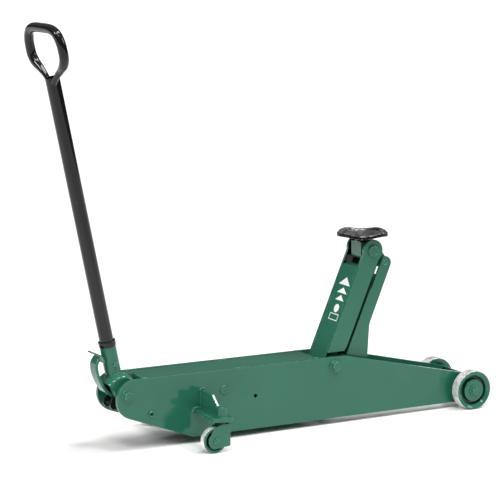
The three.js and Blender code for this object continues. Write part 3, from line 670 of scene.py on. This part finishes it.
def build_arm():
    eye = math.degrees(math.pi - math.asin(ARM_HALF / EYE_R))
    outline = arc(ARM_LENGTH, 0, EYE_R, -eye, eye, 40)
    outline += [CHEEK_FOOT]
    far_foot = len(outline) - 1
    outline += arc(*STUB_REST, NOTCH[0], NOTCH[1], 10)
    placed = {"origin": ARM_PIVOT, "tilt": ARM_ANGLE}
    holes = [circle(ARM_LENGTH, 0, 16.3)]
    for name, side in SIDES:
        near, far = ordered(side, CHEEK_IN, CHEEK_OUT)
        if name == "left":
            outline[far_foot] = FAR_FOOT
        cheek = plate(f"fine_arm_cheek_{name}", GREEN, outline, near, far, holes, edge=1.2, **placed)
        # Painted shade: the cheek's inner face is black for the shadow inside the arm.
        stand_in(shade_inside(cheek, side), f"arm_cheek_{name}")
    inside = CHEEK_IN - HOLE_GAP
    back = soften([(0, 22.2), (298, 22.2, 10), (309, 12), (313, 15.5), (301, 28.2, 12), (0, 28.2)], True)
    stand_in(plate("fine_arm_back_plate", GREEN, back, -inside, inside, edge=0.8, **placed), "arm_back_plate")
    half = PLATE_IN - HOLE_GAP
    hub = [[15.3, -half], [26, -half, 0.8], [26, -CHEEK_IN, 0.8], [20, -CHEEK_IN], [20, CHEEK_IN],
           [26, CHEEK_IN, 0.8], [26, half, 0.8], [15.3, half]]
    barrel = lathe("fine_arm_hub", GREEN, hub, (ARM_PIVOT[0], 0, ARM_PIVOT[1]), Y_AXIS, closed=True)
    stand_in(barrel, "arm_hub")
    build_crank(placed)
    pin = [[0, -54.8], [13, -54.8], [14, -56, 0.5], [16.6, -56, 1.2], [18, -54.6, 0.8], [18, -50.3],
           [16, -50.3], [16, 53, 0.8], [15, 54, 0.5], [0, 54]]
    at = (SADDLE_PIN[0], 0, SADDLE_PIN[1])
    stand_in(lathe("fine_saddle_pin", GREEN, pin, at), "saddle_pin")


EAR_TOP = 21.9


def trimmed(points):
    """The same outline without points that fall on each other."""
    return [p for p, before in zip(points, points[-1:] + points) if math.dist(p, before) > 0.01]


def build_crank(placed):
    end = middle("crank_pin")
    reach = math.dist((end.x, end.z), ARM_PIVOT)
    turn = math.atan2(end.z - ARM_PIVOT[1], end.x - ARM_PIVOT[0])
    wide, narrow = 30, 13
    lean = math.degrees(math.acos((wide - narrow) / reach))
    outline = arc(reach, 0, narrow, -lean, lean, 20) + arc(0, 0, wide, lean, 360 - lean, 36)
    outline = [turned_about(p, (0, 0), turn - ARM_ANGLE) for p in outline]
    outline = trimmed([(u, min(v, EAR_TOP)) for u, v in outline])
    holes = [circle(0, 0, 20.3), circle(*turned_about((reach, 0), (0, 0), turn - ARM_ANGLE), 8.3)]
    ear = [(22, -18), (95, -18), (95, EAR_TOP), (22, EAR_TOP)]
    for name in ("right", "left"):
        low, high = (c.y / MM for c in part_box(f"crank_plate_{name}"))
        piece = plate(f"fine_crank_plate_{name}", GREEN, outline, low, high, holes, **placed)
        stand_in(piece, f"crank_plate_{name}")
        joined_to(plate(f"crank_ear_{name}", GREEN, ear, low + 0.3, high - 0.3, **placed),
                  f"crank_plate_{name}")
    round_of("crank_pin", STEEL, Y_AXIS, 8)
    round_of("crank_roller", STEEL, Y_AXIS, 15, 1.5, 8.3)


def arrow(base, across, length, width):
    tip = (base + length, across)
    return [tip, (base, across + width / 2), (base, across - width / 2)]


def build_marks():
    """Plain arrows, a disc and an open frame on the arm's back plate."""
    shapes = {"mark_arrow_top": arrow(240, -7, 25, 62), "mark_arrow_middle": arrow(214, -9, 18, 54),
              "mark_arrow_low": arrow(191, -10, 17, 48), "mark_disc": circle(166, -10, 13)}
    edge = 2.4
    low, high, left, right = 128, 149, 14, -34
    shapes["mark_frame_top"] = [(high - edge, left), (high, left), (high, right), (high - edge, right)]
    shapes["mark_frame_foot"] = [(low, left), (low + edge, left), (low + edge, right), (low, right)]
    for name, y in (("left", left), ("right", right + edge)):
        shapes[f"mark_frame_{name}"] = [(low + edge, y), (high - edge, y), (high - edge, y - edge),
                                        (low + edge, y - edge)]
    for name, outline in shapes.items():
        points = [on_arm(u, y, BACK_FACE + out) for out in (0.02, 0.22) for u, y in outline]
        n = len(outline)
        faces = [tuple(range(n)), tuple(range(n, 2 * n))]
        faces += [(i, (i + 1) % n, (i + 1) % n + n, i + n) for i in range(n)]
        joined_to(make(name, points, faces, VINYL), "arm_back_plate")


def build_link():
    length = ARM_LENGTH
    outline = arc(length, 0, 21, -90, 42, 24)
    outline += soften([(length, 14), (length - 22, 14, 4), (285, 14, 20), (268, 18, 20), (40, 18, 20),
                       (20, 14, 4), (0, 14)])[1:-1]
    outline += arc(0, 0, 20, 44, 270, 30)
    outline += soften([(0, -20), (30, -42, 18), (82, -55, 20), (175, -22, 60), (length, -21)])[1:-1]
    holes = [circle(0, 0, 11.3), circle(length, 0, 10.3)]
    placed = {"origin": LINK_PIVOT, "tilt": ARM_ANGLE}
    for name, side in SIDES:
        near, far = ordered(side, 30, 38)
        piece = plate(f"link_plate_{name}", GREEN, outline, near, far, holes, edge=1.2, **placed)
        stand_in(piece, "radius_link")
    web = [(64, -9), (326, -9), (326, -3), (64, -3)]
    stand_in(plate("link_web", GREEN, web, -30.5, 30.5, edge=1.2, **placed), "radius_link")
    for name, side in SIDES:
        ends = [turned_about((u, -2.4), LINK_PIVOT, ARM_ANGLE) for u in (66, 324)]
        weld(f"link_weld_{name}", [(x, side * 29.6, z) for x, z in ends], 2.0, "radius_link")


def build_carrier():
    lobe = arc(*LINK_OFFSET, 17, -145, 50, 24)
    outline = soften([(-30, 24), (-30, -20, 6), (-22, -27, 6), (-8, -27, 8)] + lobe + [(22, 24)], True)
    holes = [circle(0, 0, 16.3), circle(*LINK_OFFSET, 10.3)]
    core = plate("fine_saddle_carrier", GREEN, outline, -27.5, 27.5, holes, SADDLE_PIN, edge=1.6)
    stand_in(core, "saddle_carrier")
    rows = [[16.3, 26], [19.5, 26], [19.5, 39.7, 0.8], [16.3, 39.7, 0.8]]
    for name, side in SIDES:
        at = (SADDLE_PIN[0], 0, SADDLE_PIN[1])
        hub = lathe(f"carrier_hub_{name}", GREEN, rows, at, Y_AXIS * side, closed=True)
        joined_to(hub, "saddle_carrier")
    half = size("link_top_pin").y / 2
    face = [[0, half - 1.2], [5, half - 1.2, 0.5], [6, half, 0.5], [9, half, 0.8], [10, half - 1, 0.5]]
    rows = face + [[r, -along, *soft] for r, along, *soft in reversed(face)]
    pin = lathe("fine_link_top_pin", STEEL, rows, middle("link_top_pin"), Y_AXIS, looks=(GREEN,),
                look_of=lambda radius, along: int(abs(along) > half - 1.6))
    stand_in(pin, "link_top_pin")
    round_of("saddle_spigot", STEEL, Z_AXIS, 14, 1.0)


# ---- saddle ---------------------------------------------------------------------------------
SADDLE_R = size("saddle").x / 2
SADDLE_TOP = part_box("saddle")[1].z / MM
TEETH = 22
LUG_TURN = 0.27                   # radians from X to the first of the rim's four lugs
LUG_RISE = 3.5
DIP_DEPTH = 6.0


def saddle_rows():
    """[radius, depth below the rim, how far the rim's teeth reach there]."""
    top = [[0, 7, 0], [20, 7, 0], [40, 7, 0], [50, 6.9, 0], [54.5, 6.2, 0], [58, 2.2, 0.2], [61, 0.6, 0.7],
           [66, 0.3, 1], [72, 0.4, 1], [75.5, 1.0, 1], [SADDLE_R, 2.8, 1]]
    under = [[SADDLE_R, 9.5, 1], [75.5, 12.0, 0.8], [66, 13.0, 0.2], [48, 14.4, 0], [34, 17, 0], [26, 20, 0],
             [23.5, 25, 0], [23, 28.6, 0], [14.3, 28.6, 0], [14.3, 14.4, 0], [0, 14.4, 0]]
    return top + under


def build_saddle():
    at = middle("saddle")
    sides = 288
    rows = [tuple(r) for r in smooth_path(saddle_rows()[:11], 3)] + [tuple(r) for r in saddle_rows()[11:]]
    points = []
    for radius, depth, reach in rows:
        for k in range(sides):
            turn = 2 * math.pi * k / sides
            notch = max(0.0, math.cos(TEETH * turn)) ** 3
            dip = 0.5 - 0.5 * math.cos(4 * (turn - LUG_TURN))
            rough = noise.noise(Vector((math.cos(turn), math.sin(turn), radius / 30)) * 4)
            r = radius - reach * (2.2 * notch - 0.5 * rough * (radius > 60))
            z = SADDLE_TOP - depth + reach * (LUG_RISE - notch - DIP_DEPTH * dip) + 0.25 * rough * (depth < 9)
            z = min(z, SADDLE_TOP + LUG_RISE)
            points.append((at.x + r * math.cos(turn), at.y + r * math.sin(turn), z))
    faces = []
    for i in range(len(rows) - 1):
        for k in range(sides):
            m = (k + 1) % sides
            faces.append((i * sides + k, i * sides + m, (i + 1) * sides + m, (i + 1) * sides + k))
    stand_in(make("fine_saddle", points, faces, IRON, sharp=45), "saddle")


# ---- wheels and castors ---------------------------------------------------------------------
WHEEL_R = size("front_wheel_right").z / 2
WHEEL_WIDTH = size("front_wheel_right").y
GROOVE = (34.6, 45)               # inner and outer radius of the groove, painted dark as its shade
RECESS_DEPTH = 12                 # faces nearer the plate than this get the painted shade too


def wheel_look(radius, along):
    """1 on the tread, 2 in the groove and the inner recess, painted dark as their shade, 0 elsewhere."""
    groove = GROOVE[0] < radius < GROOVE[1] and along > WHEEL_WIDTH / 2
    recess = radius < GROOVE[1] and along < RECESS_DEPTH
    return 1 if radius > WHEEL_R - 0.6 else 2 if groove or recess else 0


def build_front_wheels():
    w, r = WHEEL_WIDTH, WHEEL_R
    rows = [[14.3, 9], [42, 9, 2], [46, 1.2, 2], [r - 3, 0, 2], [r, 3, 2], [r, w - 2.5, 1.2],
            [r - 2, w - 0.4, 1.2],
            [r - 5, w, 1.5], [50, w - 2.6, 3], [44.5, w - 7, 3], [42.4, w - 17, 2], [35.8, w - 17, 2],
            [34, w - 3.4, 1.6], [30, w - 2.6, 1], [14.3, w - 2.4]]
    for name, side in SIDES:
        node = f"front_wheel_{name}"
        inner = min(abs(c.y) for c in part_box(node)) / MM
        origin = (0, side * inner, AXLE_Z)
        piece = lathe(f"fine_{node}", GREEN, rows, origin, Y_AXIS * side, 128, True, 28, (TREAD, GROOVE_SHADE),
                      wheel_look)
        stand_in(piece, node)
        face = min(abs(c.y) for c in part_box(f"front_wheel_bolt_{name}")) / MM
        washer = [[0, 0], [16.2, 0, 0.6], [17, 0.8, 0.6], [17, 3.4, 0.8], [0, 3.6]]
        place_at = Vector((0, side * face, AXLE_Z))
        disc = lathe(f"fine_front_wheel_bolt_{name}", GREEN, washer, place_at, Y_AXIS * side)
        stand_in(disc, f"front_wheel_bolt_{name}")
        out = Y_AXIS * side
        head = hex_head(f"front_bolt_head_{name}", GREEN, place_at + out * 3.4, out, 21, 7)
        joined_to(head, f"front_wheel_bolt_{name}")


def upright(name, look, outline, near, far, lay, holes=(), edge=1.0):
    """A plate whose outline isn't in XZ: lay turns (a, b, depth) into a point."""
    piece = plate(name, look, outline, near, far, holes, edge=0)
    for vertex in piece.data.vertices:
        a, depth, b = (vertex.co.x - AXLE_X) / MM, vertex.co.y / MM, vertex.co.z / MM
        vertex.co = place(lay(a, b, depth))
    mesh = bmesh.new()
    mesh.from_mesh(piece.data)
    bmesh.ops.recalc_face_normals(mesh, faces=mesh.faces)
    mesh.to_mesh(piece.data)
    mesh.free()
    return bevel(piece, edge)


def build_castor(name, side):
    stem = middle(f"castor_stem_{name}")
    cx, cy = stem.x, stem.y
    bracket = f"castor_bracket_{name}"
    far = max(abs(c.y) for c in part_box(bracket)) / MM
    root = PLATE_OUT + HOLE_GAP
    base = [(-26, root), (26, root), (29, far - 14)] + arc(15, far - 14, 14, 8, 90, 10)
    base += arc(-22, far - 14, 14, 90, 180, 10)
    hole = [circle(0, abs(cy), 8.3)]
    base_plate = upright(f"fine_{bracket}", GREEN, base, 94, 104,
                         lambda a, b, depth: (cx + a, side * b, depth), hole, 2.2)
    stand_in(base_plate, bracket)
    rib = soften([(root, 103), (root, 160), (133, 158, 4), (166, 130, 4), (176, 128), (176, 103)], True)
    gusset = upright(f"castor_gusset_{name}", GREEN, rib, -4.5, 4.5,
                     lambda a, b, depth: (cx + depth, side * a, b), edge=1.2)
    joined_to(gusset, bracket)
    boss = [[8.3, 103], [14.5, 103], [14.5, 131, 1.2], [8.3, 131, 0.8]]
    joined_to(lathe(f"castor_boss_{name}", GREEN, boss, (cx, cy, 0), Z_AXIS, closed=True), bracket)
    build_castor_welds(name, side, cx, cy, root, bracket)

    rows = [[0, 86.3], [14, 86.3, 1], [14, 93.7, 1], [8, 93.7], [8, 132, 0.8], [6.5, 134.5, 1], [0, 134.5]]
    stem_piece = lathe(f"fine_castor_stem_{name}", STEEL, rows, (cx, cy, 0), Z_AXIS, looks=(GREEN,),
                       look_of=lambda radius, along: int(along > 131 or along < 94))
    stand_in(stem_piece, f"castor_stem_{name}")
    build_castor_fork(name, side, cx, cy)


def build_castor_welds(name, side, cx, cy, root, node):
    foot = side * (root + 0.6)
    weld(f"castor_weld_top_{name}", [(cx - 25, foot, 105), (cx + 25, foot, 105)], 4.6, node)
    weld(f"castor_weld_under_{name}", [(cx - 25, foot, 93.4), (cx + 25, foot, 93.4)], 3.0, node)
    for face, dx in (("rear", -5.2), ("front", 5.2)):
        runs = [(cx + dx, foot, 162), (cx + dx, foot, 106), (cx + dx, side * 174, 104.6)]
        weld(f"castor_weld_{face}_{name}", runs, 2.6, node)
    blob = [(cx - 30, foot, 96), (cx - 28, foot, 106), (cx - 12, foot, 107.5)]
    weld(f"castor_weld_corner_{name}", blob, 5.4, node, ripple=5)
    crest = [(cx - 8, foot, 156), (cx - 4, foot, 163), (cx + 6, foot, 163)]
    weld(f"castor_weld_crest_{name}", crest, 4.6, node, ripple=5)
    ring = [(cx + 15 * math.cos(t), cy + 15 * math.sin(t), 104.6)
            for t in (2 * math.pi * k / 24 for k in range(25))]
    weld(f"castor_weld_boss_{name}", ring, 2.4, node)


def build_castor_fork(name, side, cx, cy):
    axle = middle(f"castor_wheel_{name}")
    fork = f"castor_fork_{name}"
    ax, az = axle.x - cx, axle.z
    outline = [(19, 86), (-9, 84), (-32, 77)] + arc(ax, az, 24, 135, 262, 30) + [(19, 18.5)]
    cheeks = []
    for where, dy in (("outer", side), ("inner", -side)):
        near, far = ordered(dy, 12.2, 15.6)
        hole = [circle(ax, az, 5.3)]
        rounded = soften([(*p, 4) if p[0] == 19 else p for p in outline], True)
        cheek = plate(f"castor_cheek_{where}_{name}", GREEN, rounded, cy + near, cy + far, hole, (cx, 0),
                      edge=1.5)
        cheeks.append(cheek)
    stand_in(cheeks[0], fork)
    joined_to(cheeks[1], fork)
    # Painted shade: the crown is near black for the shadow above the castor wheel.
    crown = soften([(-16, 80), (19, 80, 1), (19, 86, 3), (-16, 86)], True)
    joined_to(plate(f"castor_crown_{name}", SHADOW_DARK, crown, cy - 15, cy + 15, (), (cx, 0), edge=1.0), fork)

    w, r = size(f"castor_wheel_{name}").y / 2, size(f"castor_wheel_{name}").z / 2
    half = [[5.3, w], [11, w, 0.8], [12.5, w - 6, 1], [28, w - 6, 1.5], [30.5, w - 0.6, 1.2],
            [r - 2.5, w, 1.2], [r, w - 2, 1]]
    rows = half + [[radius, -along, *soft] for radius, along, *soft in reversed(half)]
    # Painted shade: the wheel's face inside radius 29 is near black for the shadow in its recess.
    piece = lathe(f"fine_castor_wheel_{name}", GREEN, rows, axle, Y_AXIS, 96, True, 28, (TREAD, SHADOW_DARK),
                  lambda radius, along: 1 if radius > r - 0.5 else 2 if radius < 29 else 0)
    stand_in(piece, f"castor_wheel_{name}")
    build_castor_axle(name, side, axle)


def build_castor_axle(name, side, axle):
    node = f"castor_axle_{name}"
    rows = [[0, -15.9], [5, -15.9], [5, 19.4, 0.8], [0, 19.4]]
    stand_in(lathe(f"fine_{node}", GREEN, rows, axle, Y_AXIS * -side, 40), node)
    out = Y_AXIS * side
    joined_to(hex_head(f"castor_bolt_head_{name}", GREEN, axle + out * 15.9, out, 16, 4), node)
    joined_to(hex_head(f"castor_bolt_nut_{name}", GREEN, axle - out * 15.9, -out, 15, 3, 4.8), node)


# ---- yoke, pedal, handle --------------------------------------------------------------------
YOKE_R = 58
YOKE_SPAN = (50, 146)
SOCKET_R = 24
TUBE_R = 21.2


def up_handle(along, side=0.0, across=0.0):
    """A point by its distance up the handle's axis, off it in its plane, and across."""
    at = Vector((REAR_PIVOT[0], 0, REAR_PIVOT[1])) + HANDLE_AXIS * along
    return at + HANDLE_SIDE * side + Y_AXIS * across


FENDER_CROWN = 22                 # half the width of the level crown
FENDER_WALL = 5


def quarter_round(edge, drop, top, steps):
    """From the crown down to the edge: [distance from the jack's middle plane, radius]."""
    turns = [k * math.pi / 2 / steps for k in range(steps + 1)]
    reach = edge - FENDER_CROWN
    return [(FENDER_CROWN + reach * math.sin(a), top - drop * (1 - math.cos(a))) for a in turns]


def build_fender():
    inner = quarter_round(42, 9, YOKE_R - FENDER_WALL, 6)
    half = quarter_round(45, 13, YOKE_R, 12) + inner[::-1]
    section = half + [(-across, radius) for across, radius in reversed(half)]
    steps = 48
    points = []
    for k in range(steps + 1):
        turn = math.radians(YOKE_SPAN[0] + (YOKE_SPAN[1] - YOKE_SPAN[0]) * k / steps)
        points += [(REAR_PIVOT[0] + radius * math.cos(turn), across, REAR_PIVOT[1] + radius * math.sin(turn))
                   for across, radius in section]
    n = len(section)
    faces = [(k * n + i, k * n + (i + 1) % n, (k + 1) * n + (i + 1) % n, (k + 1) * n + i)
             for k in range(steps) for i in range(n)]
    faces += [tuple(range(n)), tuple(range(steps * n, (steps + 1) * n))]
    piece = make("fine_handle_yoke", points, faces, GREEN, sharp=50)
    bevel(piece, 1.2)
    stand_in(piece, "handle_yoke")


def build_yoke():
    build_fender()
    web = arc(0, 0, YOKE_R - 11, *YOKE_SPAN, 30)
    web = soften(web + [(-30, 8, 10), (-20, -14, 14), (0, -24, 12), (22, -12, 10)], True)
    cam = soften([(-16, 46), (-22, 2, 20), (-36, -36, 8), (-28, -47, 8), (0, -47, 10), (12, -32, 10),
                  (17, -4, 20), (16, 46)], True)
    roller = middle("pump_roller")
    pin_hole = circle(roller.x - REAR_PIVOT[0], roller.z - REAR_PIVOT[1], 5.3)
    for name, side in SIDES:
        near, far = ordered(side, 23, 44)
        piece = plate(f"yoke_web_{name}", GREEN, web, near, far, [circle(0, 0, 10.3)], REAR_PIVOT, edge=1.5)
        joined_to(piece, "handle_yoke")
        # Painted shade: the cams are near black for the shadow between the yoke's webs.
        near, far = ordered(side, 19, 25)
        piece = plate(f"yoke_cam_{name}", SHADOW_DARK, cam, near, far, [circle(0, 0, 10.3), pin_hole], REAR_PIVOT)
        joined_to(piece, "handle_yoke")
    rows = [[0, -27], [4.2, -27], [5, -26.2], [5, -18], [9, -18, 1], [9, 18, 1], [5, 18], [5, 26.2],
            [4.2, 27], [0, 27]]
    stand_in(lathe("fine_pump_roller", STEEL, rows, roller), "pump_roller")


def ribbon(points, thickness, steps=8):
    """A strip of even thickness along a smooth XZ curve."""
    path = smooth_path(points, steps)
    left, right = [], []
    for i, at in enumerate(path):
        along = (path[min(i + 1, len(path) - 1)] - path[max(i - 1, 0)]).normalized()
        out = Vector((-along.y, along.x)) * thickness / 2
        left.append(tuple(at + out))
        right.append(tuple(at - out))
    return left + right[::-1]


def build_pedal():
    arm = ribbon([(-20, -9), (-42, 8), (-58, 32), (-69, 58), (-73, 80), (-71, 95), (-61, 109)], 9)
    stand_in(plate("fine_pedal_arm", GREEN, arm, -18.7, 18.7, (), REAR_PIVOT, edge=2.0), "pedal_arm")
    tread = ribbon([(-83, 125), (-70, 119.5), (-58, 113), (-51.5, 104), (-48.5, 92)], 5)
    stand_in(plate("fine_pedal_tread", GREEN, tread, -20, 20, (), REAR_PIVOT, edge=1.4), "pedal_tread")
    x, z = REAR_PIVOT[0] - 63.5, REAR_PIVOT[1] + 109
    weld("pedal_weld", [(x, -17, z), (x, 17, z)], 3.2, "pedal_arm")


def build_socket():
    rows = [[0, 58.3], [SOCKET_R, 58.3], [SOCKET_R, 142, 1.0], [21.5, 142, 0.6], [21.5, 77], [0, 77]]
    at = up_handle(0)
    stand_in(lathe("fine_handle_socket", GREEN, rows, at, HANDLE_AXIS, 96), "handle_socket")
    ring = []
    for k in range(41):
        turn = 2 * math.pi * k / 40
        side, across = (SOCKET_R + 0.6) * math.cos(turn), (SOCKET_R + 0.6) * math.sin(turn)
        ring.append(up_handle(math.sqrt(YOKE_R ** 2 - side ** 2) + 0.3, side, across))
    weld("socket_weld", ring, 3.0, "handle_socket")
    bolt = up_handle(89, 0, -SOCKET_R + 0.4)
    joined_to(hex_head("socket_bolt", GREEN, bolt - Y_AXIS * 1.4, -Y_AXIS, 12, 7), "handle_socket")
    washer = [[0, 0], [8.5, 0], [8.5, 1.5, 0.5], [0, 1.5]]
    joined_to(lathe("socket_bolt_washer", GREEN, washer, bolt, -Y_AXIS, 40), "handle_socket")


def build_handle():
    start, end = 78, 951
    rows = [[18, start, 0.5], [TUBE_R, start, 0.5], [TUBE_R, end, 1.5], [18, end, 1.5]]
    at = up_handle(0)
    stand_in(lathe("fine_handle_tube", BLACK, rows, at, HANDLE_AXIS, 96, True), "handle_tube")
    rows = [[21.5, 142.3, 0.5], [25.7, 142.3, 1.2], [25.7, 158, 1.2], [21.5, 158, 0.8]]
    stand_in(lathe("fine_handle_collar", BLACK, rows, at, HANDLE_AXIS, 96, True), "handle_collar")
    build_grip()


def build_grip():
    loop = [(55, 0, 972, 11), (77, 0, 989, 13.5), (89, 0, 1008, 14), (91, 0, 1030, 14), (88, 0, 1056, 14),
            (76, 0, 1079, 14), (54, 0, 1091, 14), (26, 0, 1094, 14)]
    near = [(-24, -12, 936, 8), (-35, -7, 953, 8.5)] + [(-y, x, z, r) for y, x, z, r in loop]
    far = loop[::-1] + [(36, 0, 955, 8.5), (25, 0, 940, 8)]
    fine = smooth_path(near + [(0, 0, 1094, 14)] + far, 10)
    turn = math.radians(5)
    path, radii = [], []
    for y, x, z, radius in (tuple(row) for row in fine):
        across = y * math.cos(turn) + x * math.sin(turn)
        side = x * math.cos(turn) - y * math.sin(turn)
        path.append(up_handle(z, side, across))
        radii.append(radius)
    stand_in(sweep("fine_handle_grip", BLACK, path, radii, 40), "handle_grip")


# ---- stage ----------------------------------------------------------------------------------
CAMERA_AT = (-4687.9, -7003.2, 2031.5)
CAMERA_TURN = (10.456, 29.503)
CAMERA_LENS = 198.86


def build_camera():
    camera = bpy.data.objects.new("camera", bpy.data.cameras.new("camera"))
    camera.data.lens = CAMERA_LENS
    camera.data.sensor_width = 36
    camera.location = place(CAMERA_AT)
    down, turn = CAMERA_TURN
    camera.rotation_euler = (math.radians(90 - down), 0, math.radians(-turn))
    camera.data.clip_end = 200
    bpy.context.scene.collection.objects.link(camera)
    bpy.context.scene.camera = camera


def sun(name, towards_light, spread, strength):
    """A distant soft light: spread is how many degrees of sky it fills."""
    light = bpy.data.lights.new(name, "SUN")
    light.angle = math.radians(spread)
    light.energy = strength
    holder = bpy.data.objects.new(name, light)
    holder.rotation_euler = Vector(towards_light).to_track_quat("Z", "Y").to_euler()
    bpy.context.scene.collection.objects.link(holder)


def build_sky():
    """Dim near the horizon, brighter overhead, like a studio with dark walls."""
    world = bpy.data.worlds.new("studio")
    world.use_nodes = True
    tree = world.node_tree
    direction = add_node(tree, "TexCoord").outputs["Generated"]
    height = add_node(tree, "SeparateXYZ", links={0: direction}).outputs["Z"]
    sky = tree.nodes["Background"]
    sky.inputs["Color"].default_value = (1.0, 1.0, 1.0, 1)
    tree.links.new(ramp(tree, height, 0.05, 0.9, 0.06, 0.46), sky.inputs["Strength"])
    bpy.context.scene.world = world


FLOOR_SHADE_SPAN = (1.08, 2.2)          # metres to the right of the jack over which the floor turns pale grey, a painted shade that darkens the black handle's reflections


def build_stage():
    mesh = bpy.data.meshes.new("floor")
    mesh.from_pydata([(-60, -60, 0), (60, -60, 0), (60, 60, 0), (-60, 60, 0)], [], [(0, 1, 2, 3)])
    floor = bpy.data.objects.new("floor", mesh)
    look, tree, shader = new_look("pale_floor", Roughness=0.8, Specular_IOR_Level=0.2)
    pale = ramp(tree, grain(tree, 1.5), 0.3, 0.7)
    near = mixed(tree, pale, (0.90, 0.89, 0.885), (0.92, 0.91, 0.905))
    where = add_node(tree, "TexCoord").outputs["Object"]
    aside = add_node(tree, "VectorMath", {1: (0, -1, 0)}, {0: where}, operation="DOT_PRODUCT")
    # Painted shade: the floor greys to the right so the black handle reflects less light.
    floor_shade = ramp(tree, aside.outputs["Value"], *FLOOR_SHADE_SPAN)
    tree.links.new(mixed(tree, floor_shade, near, (0.66, 0.655, 0.65)), shader.inputs["Base Color"])
    mesh.materials.append(look)
    bpy.context.scene.collection.objects.link(floor)
    build_sky()
    sun("overhead_front", (0.47, -0.12, 0.87), 14, 1.15)
    sun("overhead_middle", (0.08, -0.32, 0.94), 14, 0.90)
    sun("overhead_rear", (-0.33, -0.44, 0.83), 14, 0.85)
    sun("key", (0.75, -0.50, 0.45), 18, 0.55)
    sun("left", (-0.78, -0.12, 0.60), 14, 1.05)
    sun("glint", (-0.18, -0.68, 0.70), 7, 0.22)
    bpy.context.scene.view_settings.view_transform = "Standard"


build_camera()
build_stage()
build_side_plates()
build_covers()
build_cross_pins()
build_rear_bolt()
build_hydraulics()
build_arm()
build_marks()
build_link()
build_carrier()
build_saddle()
build_front_wheels()
for name, side in SIDES:
    build_castor(name, side)
build_yoke()
build_pedal()
build_socket()
build_handle()
